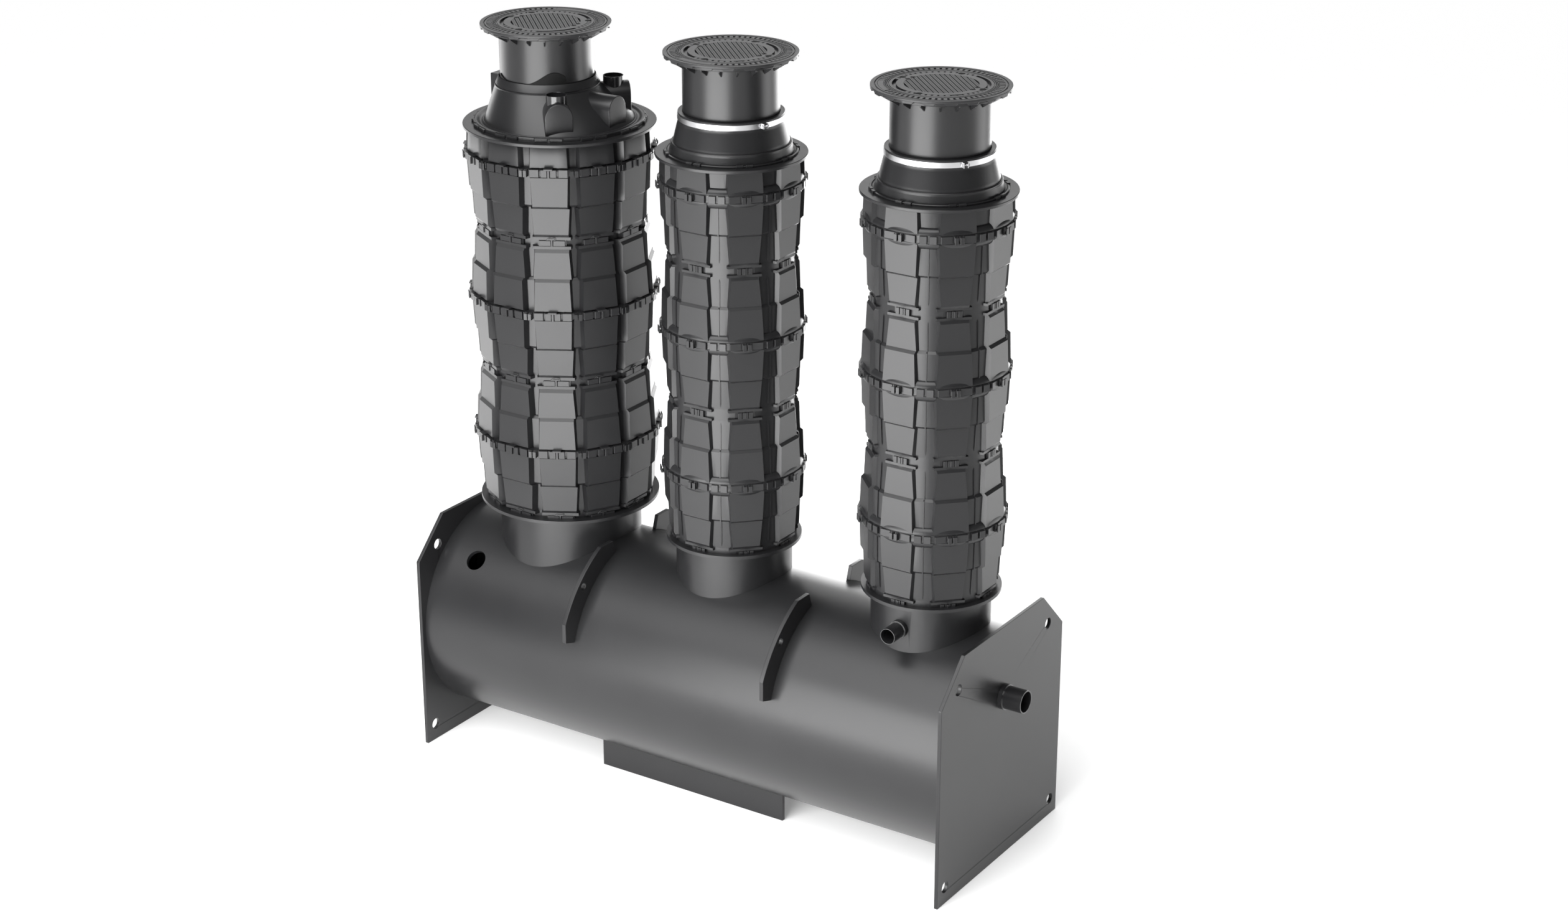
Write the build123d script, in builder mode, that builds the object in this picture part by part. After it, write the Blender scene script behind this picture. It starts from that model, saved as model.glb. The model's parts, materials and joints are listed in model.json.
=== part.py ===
from build123d import *
import math
import os
from dataclasses import dataclass

# Underground grease separator, in millimetres, +Z up, +X towards the outlet, front towards -Y.
# The origin is on the ground, in the middle of the tank.

# Tank pipe and its end plates, which are also its feet
TANK_R = 781.0
TANK_WALL = 31.0
TANK_LENGTH = 4268.0
TANK_GROUND_GAP = 103.0
PLATE_T = 27.0
PLATE_SIDE_MARGIN = 35.0
PLATE_TOP_MARGIN = 58.0
PLATE_CHAMFER = 284.0
PLATE_HOLE_R = 39.0
PLATE_FOOT_HOLE_INSET = 96.0
PLATE_FOOT_HOLE_Z = 122.0
PLATE_TOP_HOLE_INSET = (214.0, 216.0)
KEEL_T = 25.0
KEEL_SHARE = 0.46
KEEL_X = (-874.0, 664.0)
SHOULDER_BORE_R = 75.0
SHOULDER_BORE_X = -1830.0
SHOULDER_BORE_ANGLE = 45.0

# Lifting ribs, set radially on the tank: angles are measured from the top
RIB_T = 30.0
RIB_X = (-833.0, 799.0)
RIB_START_ANGLE = 18.0
RIB_END_ANGLE = 72.0
RIB_HEIGHT = 153.0
RIB_CORNER_HEIGHT = 102.0
RIB_CORNER_ANGLE = 8.0
RIB_HOLE_R = 25.0
RIB_HOLE_HEIGHT = 100.0

# Drain pipes and their fittings; heights over the tank's axis
DRAIN_R = 80.0
DRAIN_WALL = 9.0
DRAIN_REACH = 170.0
DRAIN_INSIDE = 60.0
COLLAR_R = 88.0
COLLAR_LENGTH = 35.0
OUTLET_RISE = 332.0
INLET_RISE = 70.0
SAMPLE_R = 55.0
SAMPLE_WALL = 5.0
SAMPLE_REACH = 155.0
SAMPLE_DROP = 166.0
SAMPLE_COLLAR_R = 62.0
SAMPLE_COLLAR_REACH = 35.0

# Inner parts of the tank; heights over its axis
TRAP_WALL_X = -560.0
SAMPLE_WALL_X = 1080.0
WALL_T = 15.0
TRAP_WALL_RISE = 236.0
DIP_X_GAP = 150.0
DIP_DROP = -504.0
DIP_RISE = 536.0
BAFFLE_GAP = 170.0
BAFFLE_WIDTH = 360.0
BAFFLE_HEIGHT = 420.0
BAFFLE_T = 12.0

# Risers: large, middle and right
RISER_X = (-1386.0, 23.0, 1595.0)
BASE_RISE = 221.0
BASE_T = 23.0
RING_PITCH = 500.0
RING_COUNT = 6
CUT_HEIGHT = 178.0
BAND_HEIGHT = 28.0
ROW_SPLIT = 250.0
ROW_END = 452.0
ROW_BEVEL = 20.0
BEVEL_FOOT = 8.0
PANEL_ROOT = 4.0

# Tops of the risers and the telescopic upper sections
TOP_PLATE_T = 20.0
TUBE_R = 319.4
TUBE_WALL = 12.0
TUBE_CLEARANCE = 0.5
TUBE_BELOW_TOP = 40.0
COVER_TOP_Z = 5273.0
COVER_R = 443.3
FRAME_T = 30.0
FRAME_EDGE_T = 15.0
FRAME_UNDER_R = 400.0
LID_R = 350.0
LID_CLEARANCE = 0.7
HEAD_T = 15.0
GUSSET_COUNT = 20
GUSSET_T = 10.0
GUSSET_DROP = 53.0
GUSSET_LIP = 10.0
GUSSET_PHASE = (0.0, 4.8, 11.0)

# Concentric cone of the two small risers: radii with heights over the top plate
CONE_FOOT_R = 411.0
CONE_LEDGE_R = 395.0
CONE_LEDGE_Z = 67.0
CONE_CREASE_R = 380.0
CONE_CREASE_Z = 89.0
COLLAR_TOP_R = 351.0
COLLAR_BOTTOM_Z = 207.0
COLLAR_TOP_Z = 272.0
CONE_BORE_R = 385.0
CONE_GRIP = 110.0

# Clamp band round that cone's collar
CLAMP_T = 3.0
CLAMP_HEIGHT = 34.0
CLAMP_Z = 224.0
CLAMP_GAP = 24.0
CLAMP_LUG_REACH = 26.0
CLAMP_LUG_T = 6.0
CLAMP_PHASE = (-20.0, -35.0)
CLAMP_BOLT_R = 5.0
CLAMP_NUT_FLATS = 16.0
CLAMP_NUT_T = 8.0

# Eccentric cone of the large riser, with its hoods: heights over the top plate
LARGE_SHIFT = -96.0
RIM_R = 582.0
RIM_HEIGHT = 22.0
LARGE_FOOT_R = 509.0
LARGE_LEDGE_R = 353.0
LARGE_LEDGE_Z = 245.0
LARGE_NECK_FOOT_R = 345.0
LARGE_NECK_TOP_R = 331.0
LARGE_NECK_Z = 273.0
LARGE_CONE_WALL = 30.0
HOOD_HALF_WIDTH = 94.0
HOOD_TOP_Z = 232.0
HOOD_FACE_R = 490.0
HOOD_WALL = 12.0
HOOD_ANGLES = (-45.0, 0.0, 45.0)
BOX_TOP_Z = 270.0
VENT_R = 70.0
VENT_WALL = 6.0
VENT_AXIS_R = 450.0
VENT_TOP_Z = 274.0
VENT_DEPTH = 92.0
VENT_ANGLES = (-45.0, 45.0)

# Rubber sleeve on the rim of the large cone's neck; its tongue is drawn as (level, height) over the rim
SLEEVE_T = 6.0
SLEEVE_HEIGHT = 18.0
TONGUE_ANGLE = -60.0
TONGUE_EDGE = ((-300.0, 62.0), (-160.0, 22.0), (-28.0, 60.0), (70.0, 112.0), (158.0, 86.0))
TONGUE_END = 176.0


@dataclass(frozen=True)
class RingSize:
    """The shape of one moulded riser ring; radii are measured across its flats."""

    panels: int
    clear_r: float
    belly_clear_r: float
    waist_r: float
    belly_r: float
    band_r: float
    outer_row_r: tuple
    inner_row_r: tuple
    panel_width: tuple
    base_r: float
    top_r: float
    neck_r: float
    neck_wall: float


LARGE = RingSize(
    panels=12,
    clear_r=500.0,
    belly_clear_r=548.0,
    waist_r=536.0,
    belly_r=594.0,
    band_r=645.0,
    outer_row_r=(630.0, 606.0),
    inner_row_r=(585.0, 562.0),
    panel_width=(257.0, 240.0),
    base_r=632.0,
    top_r=659.0,
    neck_r=500.0,
    neck_wall=30.0,
)
SMALL = RingSize(
    panels=8,
    clear_r=400.0,
    belly_clear_r=438.0,
    waist_r=416.0,
    belly_r=462.0,
    band_r=490.0,
    outer_row_r=(485.0, 463.0),
    inner_row_r=(450.0, 440.0),
    panel_width=(250.0, 185.0),
    base_r=466.0,
    top_r=505.0,
    neck_r=400.0,
    neck_wall=25.0,
)
SIZES = (LARGE, SMALL, SMALL)
SIDES = ("large", "middle", "right")

# Places worked out from the sizes above
TANK_Z = TANK_GROUND_GAP + TANK_R
TANK_BORE_R = TANK_R - TANK_WALL
HALF_LENGTH = TANK_LENGTH / 2
PLATE_HALF_WIDTH = TANK_R + PLATE_SIDE_MARGIN
PLATE_HEIGHT = TANK_Z + TANK_R + PLATE_TOP_MARGIN
BASE_Z = TANK_Z + TANK_R + BASE_RISE
RISER_Z = BASE_Z + BASE_T
TOP_Z = RISER_Z + (RING_COUNT - 1) * RING_PITCH + CUT_HEIGHT
CONE_Z = TOP_Z + TOP_PLATE_T
TUBE_X = (RISER_X[0] + LARGE_SHIFT, RISER_X[1], RISER_X[2])
TUBE_BOTTOM_Z = TOP_Z - TUBE_BELOW_TOP
FRAME_Z = COVER_TOP_Z - FRAME_T
HEAD_Z = FRAME_Z - HEAD_T
OUTLET_Z = TANK_Z + OUTLET_RISE
INLET_Z = OUTLET_Z + INLET_RISE
TRAP_WALL_TOP = TANK_Z + TRAP_WALL_RISE
DIP_BOTTOM = TANK_Z + DIP_DROP
DIP_TOP = TANK_Z + DIP_RISE
KEEL_Y = KEEL_SHARE * TANK_R
NECK_BORE_R = tuple(size.neck_r - size.neck_wall for size in SIZES)
DIP_X = SAMPLE_WALL_X - DIP_X_GAP
RIM_Z = CONE_Z + LARGE_NECK_Z
CLAMP_R = COLLAR_TOP_R + CLAMP_T
BOLT_AXIS_R = CLAMP_R + CLAMP_LUG_REACH / 2
LUG_BACK = CLAMP_GAP / 2 + CLAMP_LUG_T

os.makedirs("parts", exist_ok=True)


def save(piece, label):
    """Name a finished piece and write it as one STEP file."""
    piece.label = label
    export_step(piece, f"parts/{label}.step")


def upright(x):
    """Upright plane through a riser axis: local x is the radius and local y the height."""
    return Plane(origin=(x, 0, 0), x_dir=(1, 0, 0), z_dir=(0, -1, 0))


def level(x, z):
    """Level plane centred on a riser axis."""
    return Plane(origin=(x, 0, z))


def turned(x, outline):
    """A piece turned about the vertical axis at x, from its closed outline of (radius, height)."""
    with BuildPart() as piece:
        with BuildSketch(upright(x)):
            with BuildLine():
                Polyline(*outline, close=True)
            make_face()
        revolve(axis=Axis((x, 0, 0), (0, 0, 1)))
    return piece.part


# Tank shell: a pipe with an opening under each neck and one bore in the front shoulder
with BuildPart() as tank_shell:
    with BuildSketch(Plane.YZ.offset(-HALF_LENGTH)):
        with Locations((0, TANK_Z)):
            Circle(TANK_R)
            Circle(TANK_BORE_R, mode=Mode.SUBTRACT)
    extrude(amount=TANK_LENGTH)
    for riser_x, bore_r in zip(RISER_X, NECK_BORE_R):
        with BuildSketch(level(riser_x, TANK_Z)):
            Circle(bore_r)
        extrude(amount=TANK_R, mode=Mode.SUBTRACT)
    shoulder = math.radians(SHOULDER_BORE_ANGLE)
    shoulder_dir = (0, -math.sin(shoulder), math.cos(shoulder))
    with BuildSketch(Plane(origin=(SHOULDER_BORE_X, 0, TANK_Z), x_dir=(1, 0, 0), z_dir=shoulder_dir)):
        Circle(SHOULDER_BORE_R)
    extrude(amount=TANK_R, mode=Mode.SUBTRACT)
save(tank_shell.part, "tank_shell")


def end_plate(side, pipe_z):
    """Upright end plate that closes the tank; side is -1 at the inlet and 1 at the outlet."""
    inner_face = side * HALF_LENGTH
    with BuildPart() as plate:
        with BuildSketch(Plane.YZ.offset(min(inner_face, inner_face + side * PLATE_T))):
            with Locations((0, PLATE_HEIGHT / 2)):
                outline = Rectangle(2 * PLATE_HALF_WIDTH, PLATE_HEIGHT)
            chamfer(outline.vertices().group_by(Axis.Y)[-1], PLATE_CHAMFER)
            top_hole = (PLATE_HALF_WIDTH - PLATE_TOP_HOLE_INSET[0], PLATE_HEIGHT - PLATE_TOP_HOLE_INSET[1])
            foot_hole = (PLATE_HALF_WIDTH - PLATE_FOOT_HOLE_INSET, PLATE_FOOT_HOLE_Z)
            for hole_y, hole_z in (foot_hole, top_hole):
                with Locations((hole_y, hole_z), (-hole_y, hole_z)):
                    Circle(PLATE_HOLE_R, mode=Mode.SUBTRACT)
            with Locations((0, pipe_z)):
                Circle(DRAIN_R, mode=Mode.SUBTRACT)
        extrude(amount=PLATE_T)
    return plate.part


save(end_plate(-1, INLET_Z), "end_plate_inlet")
save(end_plate(1, OUTLET_Z), "end_plate_outlet")


def drain_pipe(side, pipe_z, inside):
    """Straight pipe through an end plate, with its collar outside the plate."""
    direction = Plane.YZ if side > 0 else Plane(origin=(0, 0, 0), x_dir=(0, 1, 0), z_dir=(-1, 0, 0))
    plate_out = HALF_LENGTH + PLATE_T
    flip = 1 if side > 0 else -1
    with BuildPart() as pipe:
        with BuildSketch(direction.offset(HALF_LENGTH - inside)):
            with Locations((0, flip * pipe_z)):
                Circle(DRAIN_R)
        extrude(amount=inside + PLATE_T + DRAIN_REACH)
        with BuildSketch(direction.offset(plate_out)):
            with Locations((0, flip * pipe_z)):
                Circle(COLLAR_R)
        extrude(amount=COLLAR_LENGTH)
        with BuildSketch(direction.offset(HALF_LENGTH - inside)):
            with Locations((0, flip * pipe_z)):
                Circle(DRAIN_R - DRAIN_WALL)
        extrude(amount=inside + PLATE_T + DRAIN_REACH, mode=Mode.SUBTRACT)
    return pipe.part


save(drain_pipe(-1, INLET_Z, DRAIN_INSIDE), "inlet_pipe")
save(drain_pipe(1, OUTLET_Z, DRAIN_INSIDE), "outlet_pipe")


def neck(index):
    """Short pipe welded on the tank under a riser, with the round plate that the rings stand on."""
    size, x = SIZES[index], RISER_X[index]
    with BuildPart() as pipe:
        with BuildSketch(level(x, TANK_Z)):
            Circle(size.neck_r)
        extrude(amount=BASE_Z - TANK_Z)
        with BuildSketch(Plane.YZ.offset(x - size.neck_r)):
            with Locations((0, TANK_Z)):
                Circle(TANK_R)
        extrude(amount=2 * size.neck_r, mode=Mode.SUBTRACT)
        with BuildSketch(level(x, BASE_Z)):
            Circle(size.base_r)
        extrude(amount=BASE_T)
        with BuildSketch(level(x, TANK_Z)):
            Circle(NECK_BORE_R[index])
        extrude(amount=RISER_Z - TANK_Z, mode=Mode.SUBTRACT)
        if index == 2:
            with BuildSketch(Plane(origin=(x, 0, BASE_Z - SAMPLE_DROP), x_dir=(1, 0, 0), z_dir=(0, -1, 0))):
                Circle(SAMPLE_COLLAR_R)
            extrude(amount=size.neck_r, mode=Mode.SUBTRACT)
    return pipe.part


for index, side_name in enumerate(SIDES):
    save(neck(index), f"neck_{side_name}")

# Sampling stub through the front of the right neck, with its welded collar
with BuildPart() as sampling_stub:
    stub_plane = Plane(origin=(RISER_X[2], 0, BASE_Z - SAMPLE_DROP), x_dir=(1, 0, 0), z_dir=(0, -1, 0))
    with BuildSketch(stub_plane.offset(NECK_BORE_R[2])):
        Circle(SAMPLE_R)
    extrude(amount=SMALL.neck_wall + SAMPLE_REACH)
    with BuildSketch(stub_plane.offset(NECK_BORE_R[2])):
        Circle(SAMPLE_COLLAR_R)
    extrude(amount=SMALL.neck_wall + SAMPLE_COLLAR_REACH)
    with BuildSketch(stub_plane.offset(NECK_BORE_R[2])):
        Circle(SAMPLE_R - SAMPLE_WALL)
    extrude(amount=SMALL.neck_wall + SAMPLE_REACH, mode=Mode.SUBTRACT)
save(sampling_stub.part, "sampling_stub")


def around_tank(radius, angle):
    """Point (y, z) at a distance from the tank axis, at an angle from the top towards the front."""
    turn = math.radians(angle)
    return (-radius * math.sin(turn), TANK_Z + radius * math.cos(turn))


def lifting_rib(x, front):
    """Radial rib on the tank's shoulder, with its corners cut and a hole for a shackle."""
    corner_r = TANK_R + RIB_CORNER_HEIGHT
    outer_r = TANK_R + RIB_HEIGHT
    middle = (RIB_START_ANGLE + RIB_END_ANGLE) / 2
    start, end = RIB_START_ANGLE, RIB_END_ANGLE
    with BuildPart() as rib:
        with BuildSketch(Plane.YZ.offset(x - RIB_T / 2)):
            with BuildLine():
                foot = ThreePointArc(
                    around_tank(TANK_R, start), around_tank(TANK_R, middle), around_tank(TANK_R, end)
                )
                crest = ThreePointArc(
                    around_tank(outer_r, start + RIB_CORNER_ANGLE),
                    around_tank(outer_r, middle),
                    around_tank(outer_r, end - RIB_CORNER_ANGLE),
                )
                Polyline(foot @ 0, around_tank(corner_r, start), crest @ 0)
                Polyline(foot @ 1, around_tank(corner_r, end), crest @ 1)
            make_face()
            with Locations(around_tank(TANK_R + RIB_HOLE_HEIGHT, middle)):
                Circle(RIB_HOLE_R, mode=Mode.SUBTRACT)
        extrude(amount=RIB_T)
        if not front:
            mirror(about=Plane.XZ, mode=Mode.REPLACE)
    return rib.part


for rib_x, end_name in zip(RIB_X, ("inlet", "outlet")):
    save(lifting_rib(rib_x, True), f"lifting_rib_front_{end_name}")
    save(lifting_rib(rib_x, False), f"lifting_rib_back_{end_name}")


def keel(y):
    """Plate on edge under the tank, cut to its round underside."""
    with BuildPart() as plate:
        with BuildSketch(Plane.XY):
            with Locations(((KEEL_X[0] + KEEL_X[1]) / 2, y)):
                Rectangle(KEEL_X[1] - KEEL_X[0], KEEL_T)
        extrude(amount=TANK_Z)
        with BuildSketch(Plane.YZ.offset(KEEL_X[0])):
            with Locations((0, TANK_Z)):
                Circle(TANK_R)
        extrude(amount=KEEL_X[1] - KEEL_X[0], mode=Mode.SUBTRACT)
    return plate.part


save(keel(-KEEL_Y), "keel_front")
save(keel(KEEL_Y), "keel_back")

# Wall between the sludge trap and the grease chamber, open above
with BuildPart() as sludge_trap_wall:
    with BuildSketch(Plane.YZ.offset(TRAP_WALL_X)):
        with Locations((0, TANK_Z)):
            Circle(TANK_BORE_R)
        with Locations((0, TRAP_WALL_TOP + TANK_R / 2)):
            Rectangle(2 * TANK_R, TANK_R, mode=Mode.SUBTRACT)
    extrude(amount=WALL_T)
save(sludge_trap_wall.part, "sludge_trap_wall")

# Full wall in front of the sampling chamber, with the bore of the dip pipe's branch
with BuildPart() as sampling_wall:
    with BuildSketch(Plane.YZ.offset(SAMPLE_WALL_X)):
        with Locations((0, TANK_Z)):
            Circle(TANK_BORE_R)
        with Locations((0, OUTLET_Z)):
            Circle(DRAIN_R, mode=Mode.SUBTRACT)
    extrude(amount=WALL_T)
save(sampling_wall.part, "sampling_wall")

# Dip pipe that draws from below the grease layer: an upright pipe with a branch through the wall
with BuildPart() as dip_pipe:
    with BuildSketch(level(DIP_X, DIP_BOTTOM)):
        Circle(DRAIN_R)
    extrude(amount=DIP_TOP - DIP_BOTTOM)
    with BuildSketch(Plane.YZ.offset(DIP_X)):
        with Locations((0, OUTLET_Z)):
            Circle(DRAIN_R)
    extrude(amount=DIP_X_GAP + WALL_T + DRAIN_INSIDE)
    with BuildSketch(level(DIP_X, DIP_BOTTOM)):
        Circle(DRAIN_R - DRAIN_WALL)
    extrude(amount=DIP_TOP - DIP_BOTTOM, mode=Mode.SUBTRACT)
    with BuildSketch(Plane.YZ.offset(DIP_X)):
        with Locations((0, OUTLET_Z)):
            Circle(DRAIN_R - DRAIN_WALL)
    extrude(amount=DIP_X_GAP + WALL_T + DRAIN_INSIDE, mode=Mode.SUBTRACT)
save(dip_pipe.part, "dip_pipe")

# Inlet baffle: a plate with two cheeks that turns the inflow down
with BuildPart() as inlet_baffle:
    with BuildSketch(level(-HALF_LENGTH, INLET_Z - BAFFLE_HEIGHT / 2)):
        with Locations((BAFFLE_GAP / 2, 0)):
            Rectangle(BAFFLE_GAP, BAFFLE_WIDTH)
        with Locations(((BAFFLE_GAP - BAFFLE_T) / 2, 0)):
            Rectangle(BAFFLE_GAP - BAFFLE_T, BAFFLE_WIDTH - 2 * BAFFLE_T, mode=Mode.SUBTRACT)
    extrude(amount=BAFFLE_HEIGHT)
save(inlet_baffle.part, "inlet_baffle")


def flat_panel(size):
    """The flat panel on a ring's +X side: two rows stepped at half height, tapered in front view."""
    root_r = size.waist_r - PANEL_ROOT
    with BuildPart() as panel:
        with BuildSketch(Plane.XZ.offset(-size.panel_width[0])):
            with BuildLine():
                Polyline(
                    (root_r, BAND_HEIGHT),
                    (size.outer_row_r[0], BAND_HEIGHT),
                    (size.outer_row_r[1], ROW_SPLIT - ROW_BEVEL),
                    (size.inner_row_r[0], ROW_SPLIT),
                    (size.inner_row_r[1], ROW_END - ROW_BEVEL),
                    (size.waist_r + BEVEL_FOOT, ROW_END),
                    (root_r, ROW_END),
                    close=True,
                )
            make_face()
        extrude(amount=2 * size.panel_width[0])
        with BuildSketch(Plane.YZ):
            with Locations((0, (BAND_HEIGHT + ROW_END) / 2)):
                Trapezoid(size.panel_width[0], ROW_END - BAND_HEIGHT, size_taper(size))
        extrude(amount=2 * size.band_r, mode=Mode.INTERSECT)
    return panel.part


def size_taper(size):
    """Angle at the wide end of a panel's front view."""
    narrowing = (size.panel_width[0] - size.panel_width[1]) / 2
    return math.degrees(math.atan2(ROW_END - BAND_HEIGHT, narrowing))


def flats(radius, size):
    """Outline of a ring across its flats: one flat behind each panel and one in each gap."""
    RegularPolygon(radius, 2 * size.panels, major_radius=False, rotation=90 / size.panels)


def ring_moulding(size):
    """One full riser ring, standing on its wide end: a tapered barrel with a band and flat panels."""
    with BuildPart() as ring:
        with BuildSketch(Plane.XY):
            flats(size.belly_r, size)
        with BuildSketch(Plane.XY.offset(RING_PITCH)):
            flats(size.waist_r, size)
        loft()
        with BuildSketch(Plane.XY):
            flats(size.band_r, size)
        extrude(amount=BAND_HEIGHT)
        with PolarLocations(0, size.panels):
            add(flat_panel(size))
        with BuildSketch(Plane.XY):
            flats(size.belly_clear_r, size)
        with BuildSketch(Plane.XY.offset(RING_PITCH)):
            flats(size.clear_r, size)
        loft(mode=Mode.SUBTRACT)
    return ring.part


def cut_ring(ring):
    """The last ring, sawn off level above its wide end."""
    with BuildPart() as short_ring:
        add(ring)
        split(bisect_by=Plane.XY.offset(CUT_HEIGHT), keep=Keep.BOTTOM)
    return short_ring.part


MOULDINGS = {size: ring_moulding(size) for size in (LARGE, SMALL)}


def stacked_ring(index, number):
    """Ring of a riser, counted from below; the rings stand alternately on their narrow and wide ends."""
    moulding = MOULDINGS[SIZES[index]]
    foot = RISER_Z + number * RING_PITCH
    narrow_below = number % 2 == 0
    if number == RING_COUNT - 1:
        moulding = cut_ring(moulding)
    if narrow_below:
        place = Location((RISER_X[index], 0, foot + RING_PITCH), (180, 0, 0))
    else:
        place = Location((RISER_X[index], 0, foot))
    with BuildPart() as ring:
        add(moulding.moved(place))
    return ring.part


for index, side_name in enumerate(SIDES):
    for number in range(RING_COUNT):
        save(stacked_ring(index, number), f"riser_ring_{side_name}_{number + 1}")


def small_cone(index):
    """Concentric reducing cone of a small riser, with its top plate and clamping collar."""
    bore = TUBE_R + TUBE_CLEARANCE
    size = SIZES[index]
    return turned(RISER_X[index], [
        (CONE_BORE_R, TOP_Z),
        (size.top_r, TOP_Z),
        (size.top_r, CONE_Z),
        (CONE_FOOT_R, CONE_Z),
        (CONE_LEDGE_R, CONE_Z + CONE_LEDGE_Z),
        (CONE_CREASE_R, CONE_Z + CONE_CREASE_Z),
        (COLLAR_TOP_R, CONE_Z + COLLAR_BOTTOM_Z),
        (COLLAR_TOP_R, CONE_Z + COLLAR_TOP_Z),
        (bore, CONE_Z + COLLAR_TOP_Z),
        (bore, CONE_Z + COLLAR_TOP_Z - CONE_GRIP),
    ])


save(small_cone(1), "cone_middle")
save(small_cone(2), "cone_right")


def hood_plane(angle, distance):
    """Upright plane facing out from the large riser's tube axis: local x is level, local y is up."""
    turn = math.radians(angle)
    out = (math.cos(turn), math.sin(turn), 0)
    origin = (TUBE_X[0] + distance * out[0], distance * out[1], CONE_Z)
    return Plane(origin=origin, x_dir=(-out[1], out[0], 0), z_dir=out)


def hood_face(angle):
    """Distance of a hood's face from the tube axis, for faces that stay over the cone's foot."""
    return HOOD_FACE_R - LARGE_SHIFT * math.cos(math.radians(angle))


def hood_sketch(inset, arched):
    """Front view of a hood, less an inset all round."""
    half = HOOD_HALF_WIDTH - inset
    if arched:
        spring = HOOD_TOP_Z - HOOD_HALF_WIDTH
        with Locations((0, spring / 2)):
            Rectangle(2 * half, spring)
        with Locations((0, spring)):
            Circle(half)
    else:
        top = BOX_TOP_Z - inset
        with Locations((0, top / 2)):
            Rectangle(2 * half, top)


# Eccentric reducing cone of the large riser
with BuildPart() as cone_large:
    bore_r = TUBE_R + TUBE_CLEARANCE
    with BuildSketch(level(RISER_X[0], TOP_Z)):
        Circle(LARGE.top_r)
    extrude(amount=TOP_PLATE_T)
    with BuildSketch(level(RISER_X[0], CONE_Z)):
        Circle(RIM_R)
    extrude(amount=RIM_HEIGHT)
    with BuildSketch(level(RISER_X[0], CONE_Z + RIM_HEIGHT)):
        Circle(LARGE_FOOT_R)
    with BuildSketch(level(TUBE_X[0], CONE_Z + LARGE_LEDGE_Z)):
        Circle(LARGE_LEDGE_R)
    loft(ruled=True)
    with BuildSketch(level(TUBE_X[0], CONE_Z + LARGE_LEDGE_Z)):
        Circle(LARGE_NECK_FOOT_R)
    with BuildSketch(level(TUBE_X[0], CONE_Z + LARGE_NECK_Z)):
        Circle(LARGE_NECK_TOP_R)
    loft(ruled=True)
    for hood_angle in HOOD_ANGLES + (180.0,):
        with BuildSketch(hood_plane(hood_angle, 0)):
            hood_sketch(0, hood_angle != 180.0)
        extrude(amount=hood_face(hood_angle))
    for vent_angle in VENT_ANGLES:
        vent = hood_plane(vent_angle, VENT_AXIS_R).origin
        with BuildSketch(Plane(origin=(vent.X, vent.Y, CONE_Z + HOOD_TOP_Z - HOOD_HALF_WIDTH))):
            Circle(VENT_R)
        extrude(amount=VENT_TOP_Z - HOOD_TOP_Z + HOOD_HALF_WIDTH)
    for hood_angle in HOOD_ANGLES + (180.0,):
        with BuildSketch(hood_plane(hood_angle, 0)):
            hood_sketch(HOOD_WALL, hood_angle != 180.0)
        extrude(amount=hood_face(hood_angle) - HOOD_WALL, mode=Mode.SUBTRACT)
    with BuildSketch(level(RISER_X[0], TOP_Z)):
        Circle(LARGE_FOOT_R - LARGE_CONE_WALL)
    extrude(amount=TOP_PLATE_T, mode=Mode.SUBTRACT)
    with BuildSketch(level(RISER_X[0], CONE_Z)):
        Circle(LARGE_FOOT_R - LARGE_CONE_WALL)
    with BuildSketch(level(TUBE_X[0], CONE_Z + LARGE_LEDGE_Z - LARGE_CONE_WALL)):
        Circle(bore_r)
    loft(ruled=True, mode=Mode.SUBTRACT)
    with BuildSketch(level(TUBE_X[0], CONE_Z + LARGE_LEDGE_Z - LARGE_CONE_WALL)):
        Circle(bore_r)
    extrude(amount=LARGE_NECK_Z, mode=Mode.SUBTRACT)
    for vent_angle in VENT_ANGLES:
        vent = hood_plane(vent_angle, VENT_AXIS_R).origin
        with BuildSketch(Plane(origin=(vent.X, vent.Y, CONE_Z + VENT_TOP_Z))):
            Circle(VENT_R - VENT_WALL)
        extrude(amount=-VENT_DEPTH, mode=Mode.SUBTRACT)
save(cone_large.part, "cone_large")

# Rubber sleeve on the rim of the large cone's neck, with a wavy tongue against the tube
with BuildPart() as tongue:
    with BuildSketch(level(TUBE_X[0], RIM_Z)):
        Circle(TUBE_R + TUBE_CLEARANCE + SLEEVE_T)
        Circle(TUBE_R + TUBE_CLEARANCE, mode=Mode.SUBTRACT)
    extrude(amount=2 * TONGUE_EDGE[3][1])
    with BuildSketch(hood_plane(TONGUE_ANGLE, 0)):
        with BuildLine():
            edge = Spline(*[(across, LARGE_NECK_Z + height) for across, height in TONGUE_EDGE])
            Polyline(edge @ 1, (TONGUE_END, LARGE_NECK_Z), ((edge @ 0).X, LARGE_NECK_Z), edge @ 0)
        make_face()
    extrude(amount=2 * TUBE_R, mode=Mode.INTERSECT)
with BuildPart() as sealing_sleeve:
    with BuildSketch(level(TUBE_X[0], RIM_Z)):
        Circle(TUBE_R + TUBE_CLEARANCE + SLEEVE_T)
        Circle(TUBE_R + TUBE_CLEARANCE, mode=Mode.SUBTRACT)
    extrude(amount=SLEEVE_HEIGHT)
    add(tongue.part)
save(sealing_sleeve.part, "sealing_sleeve")


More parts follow.
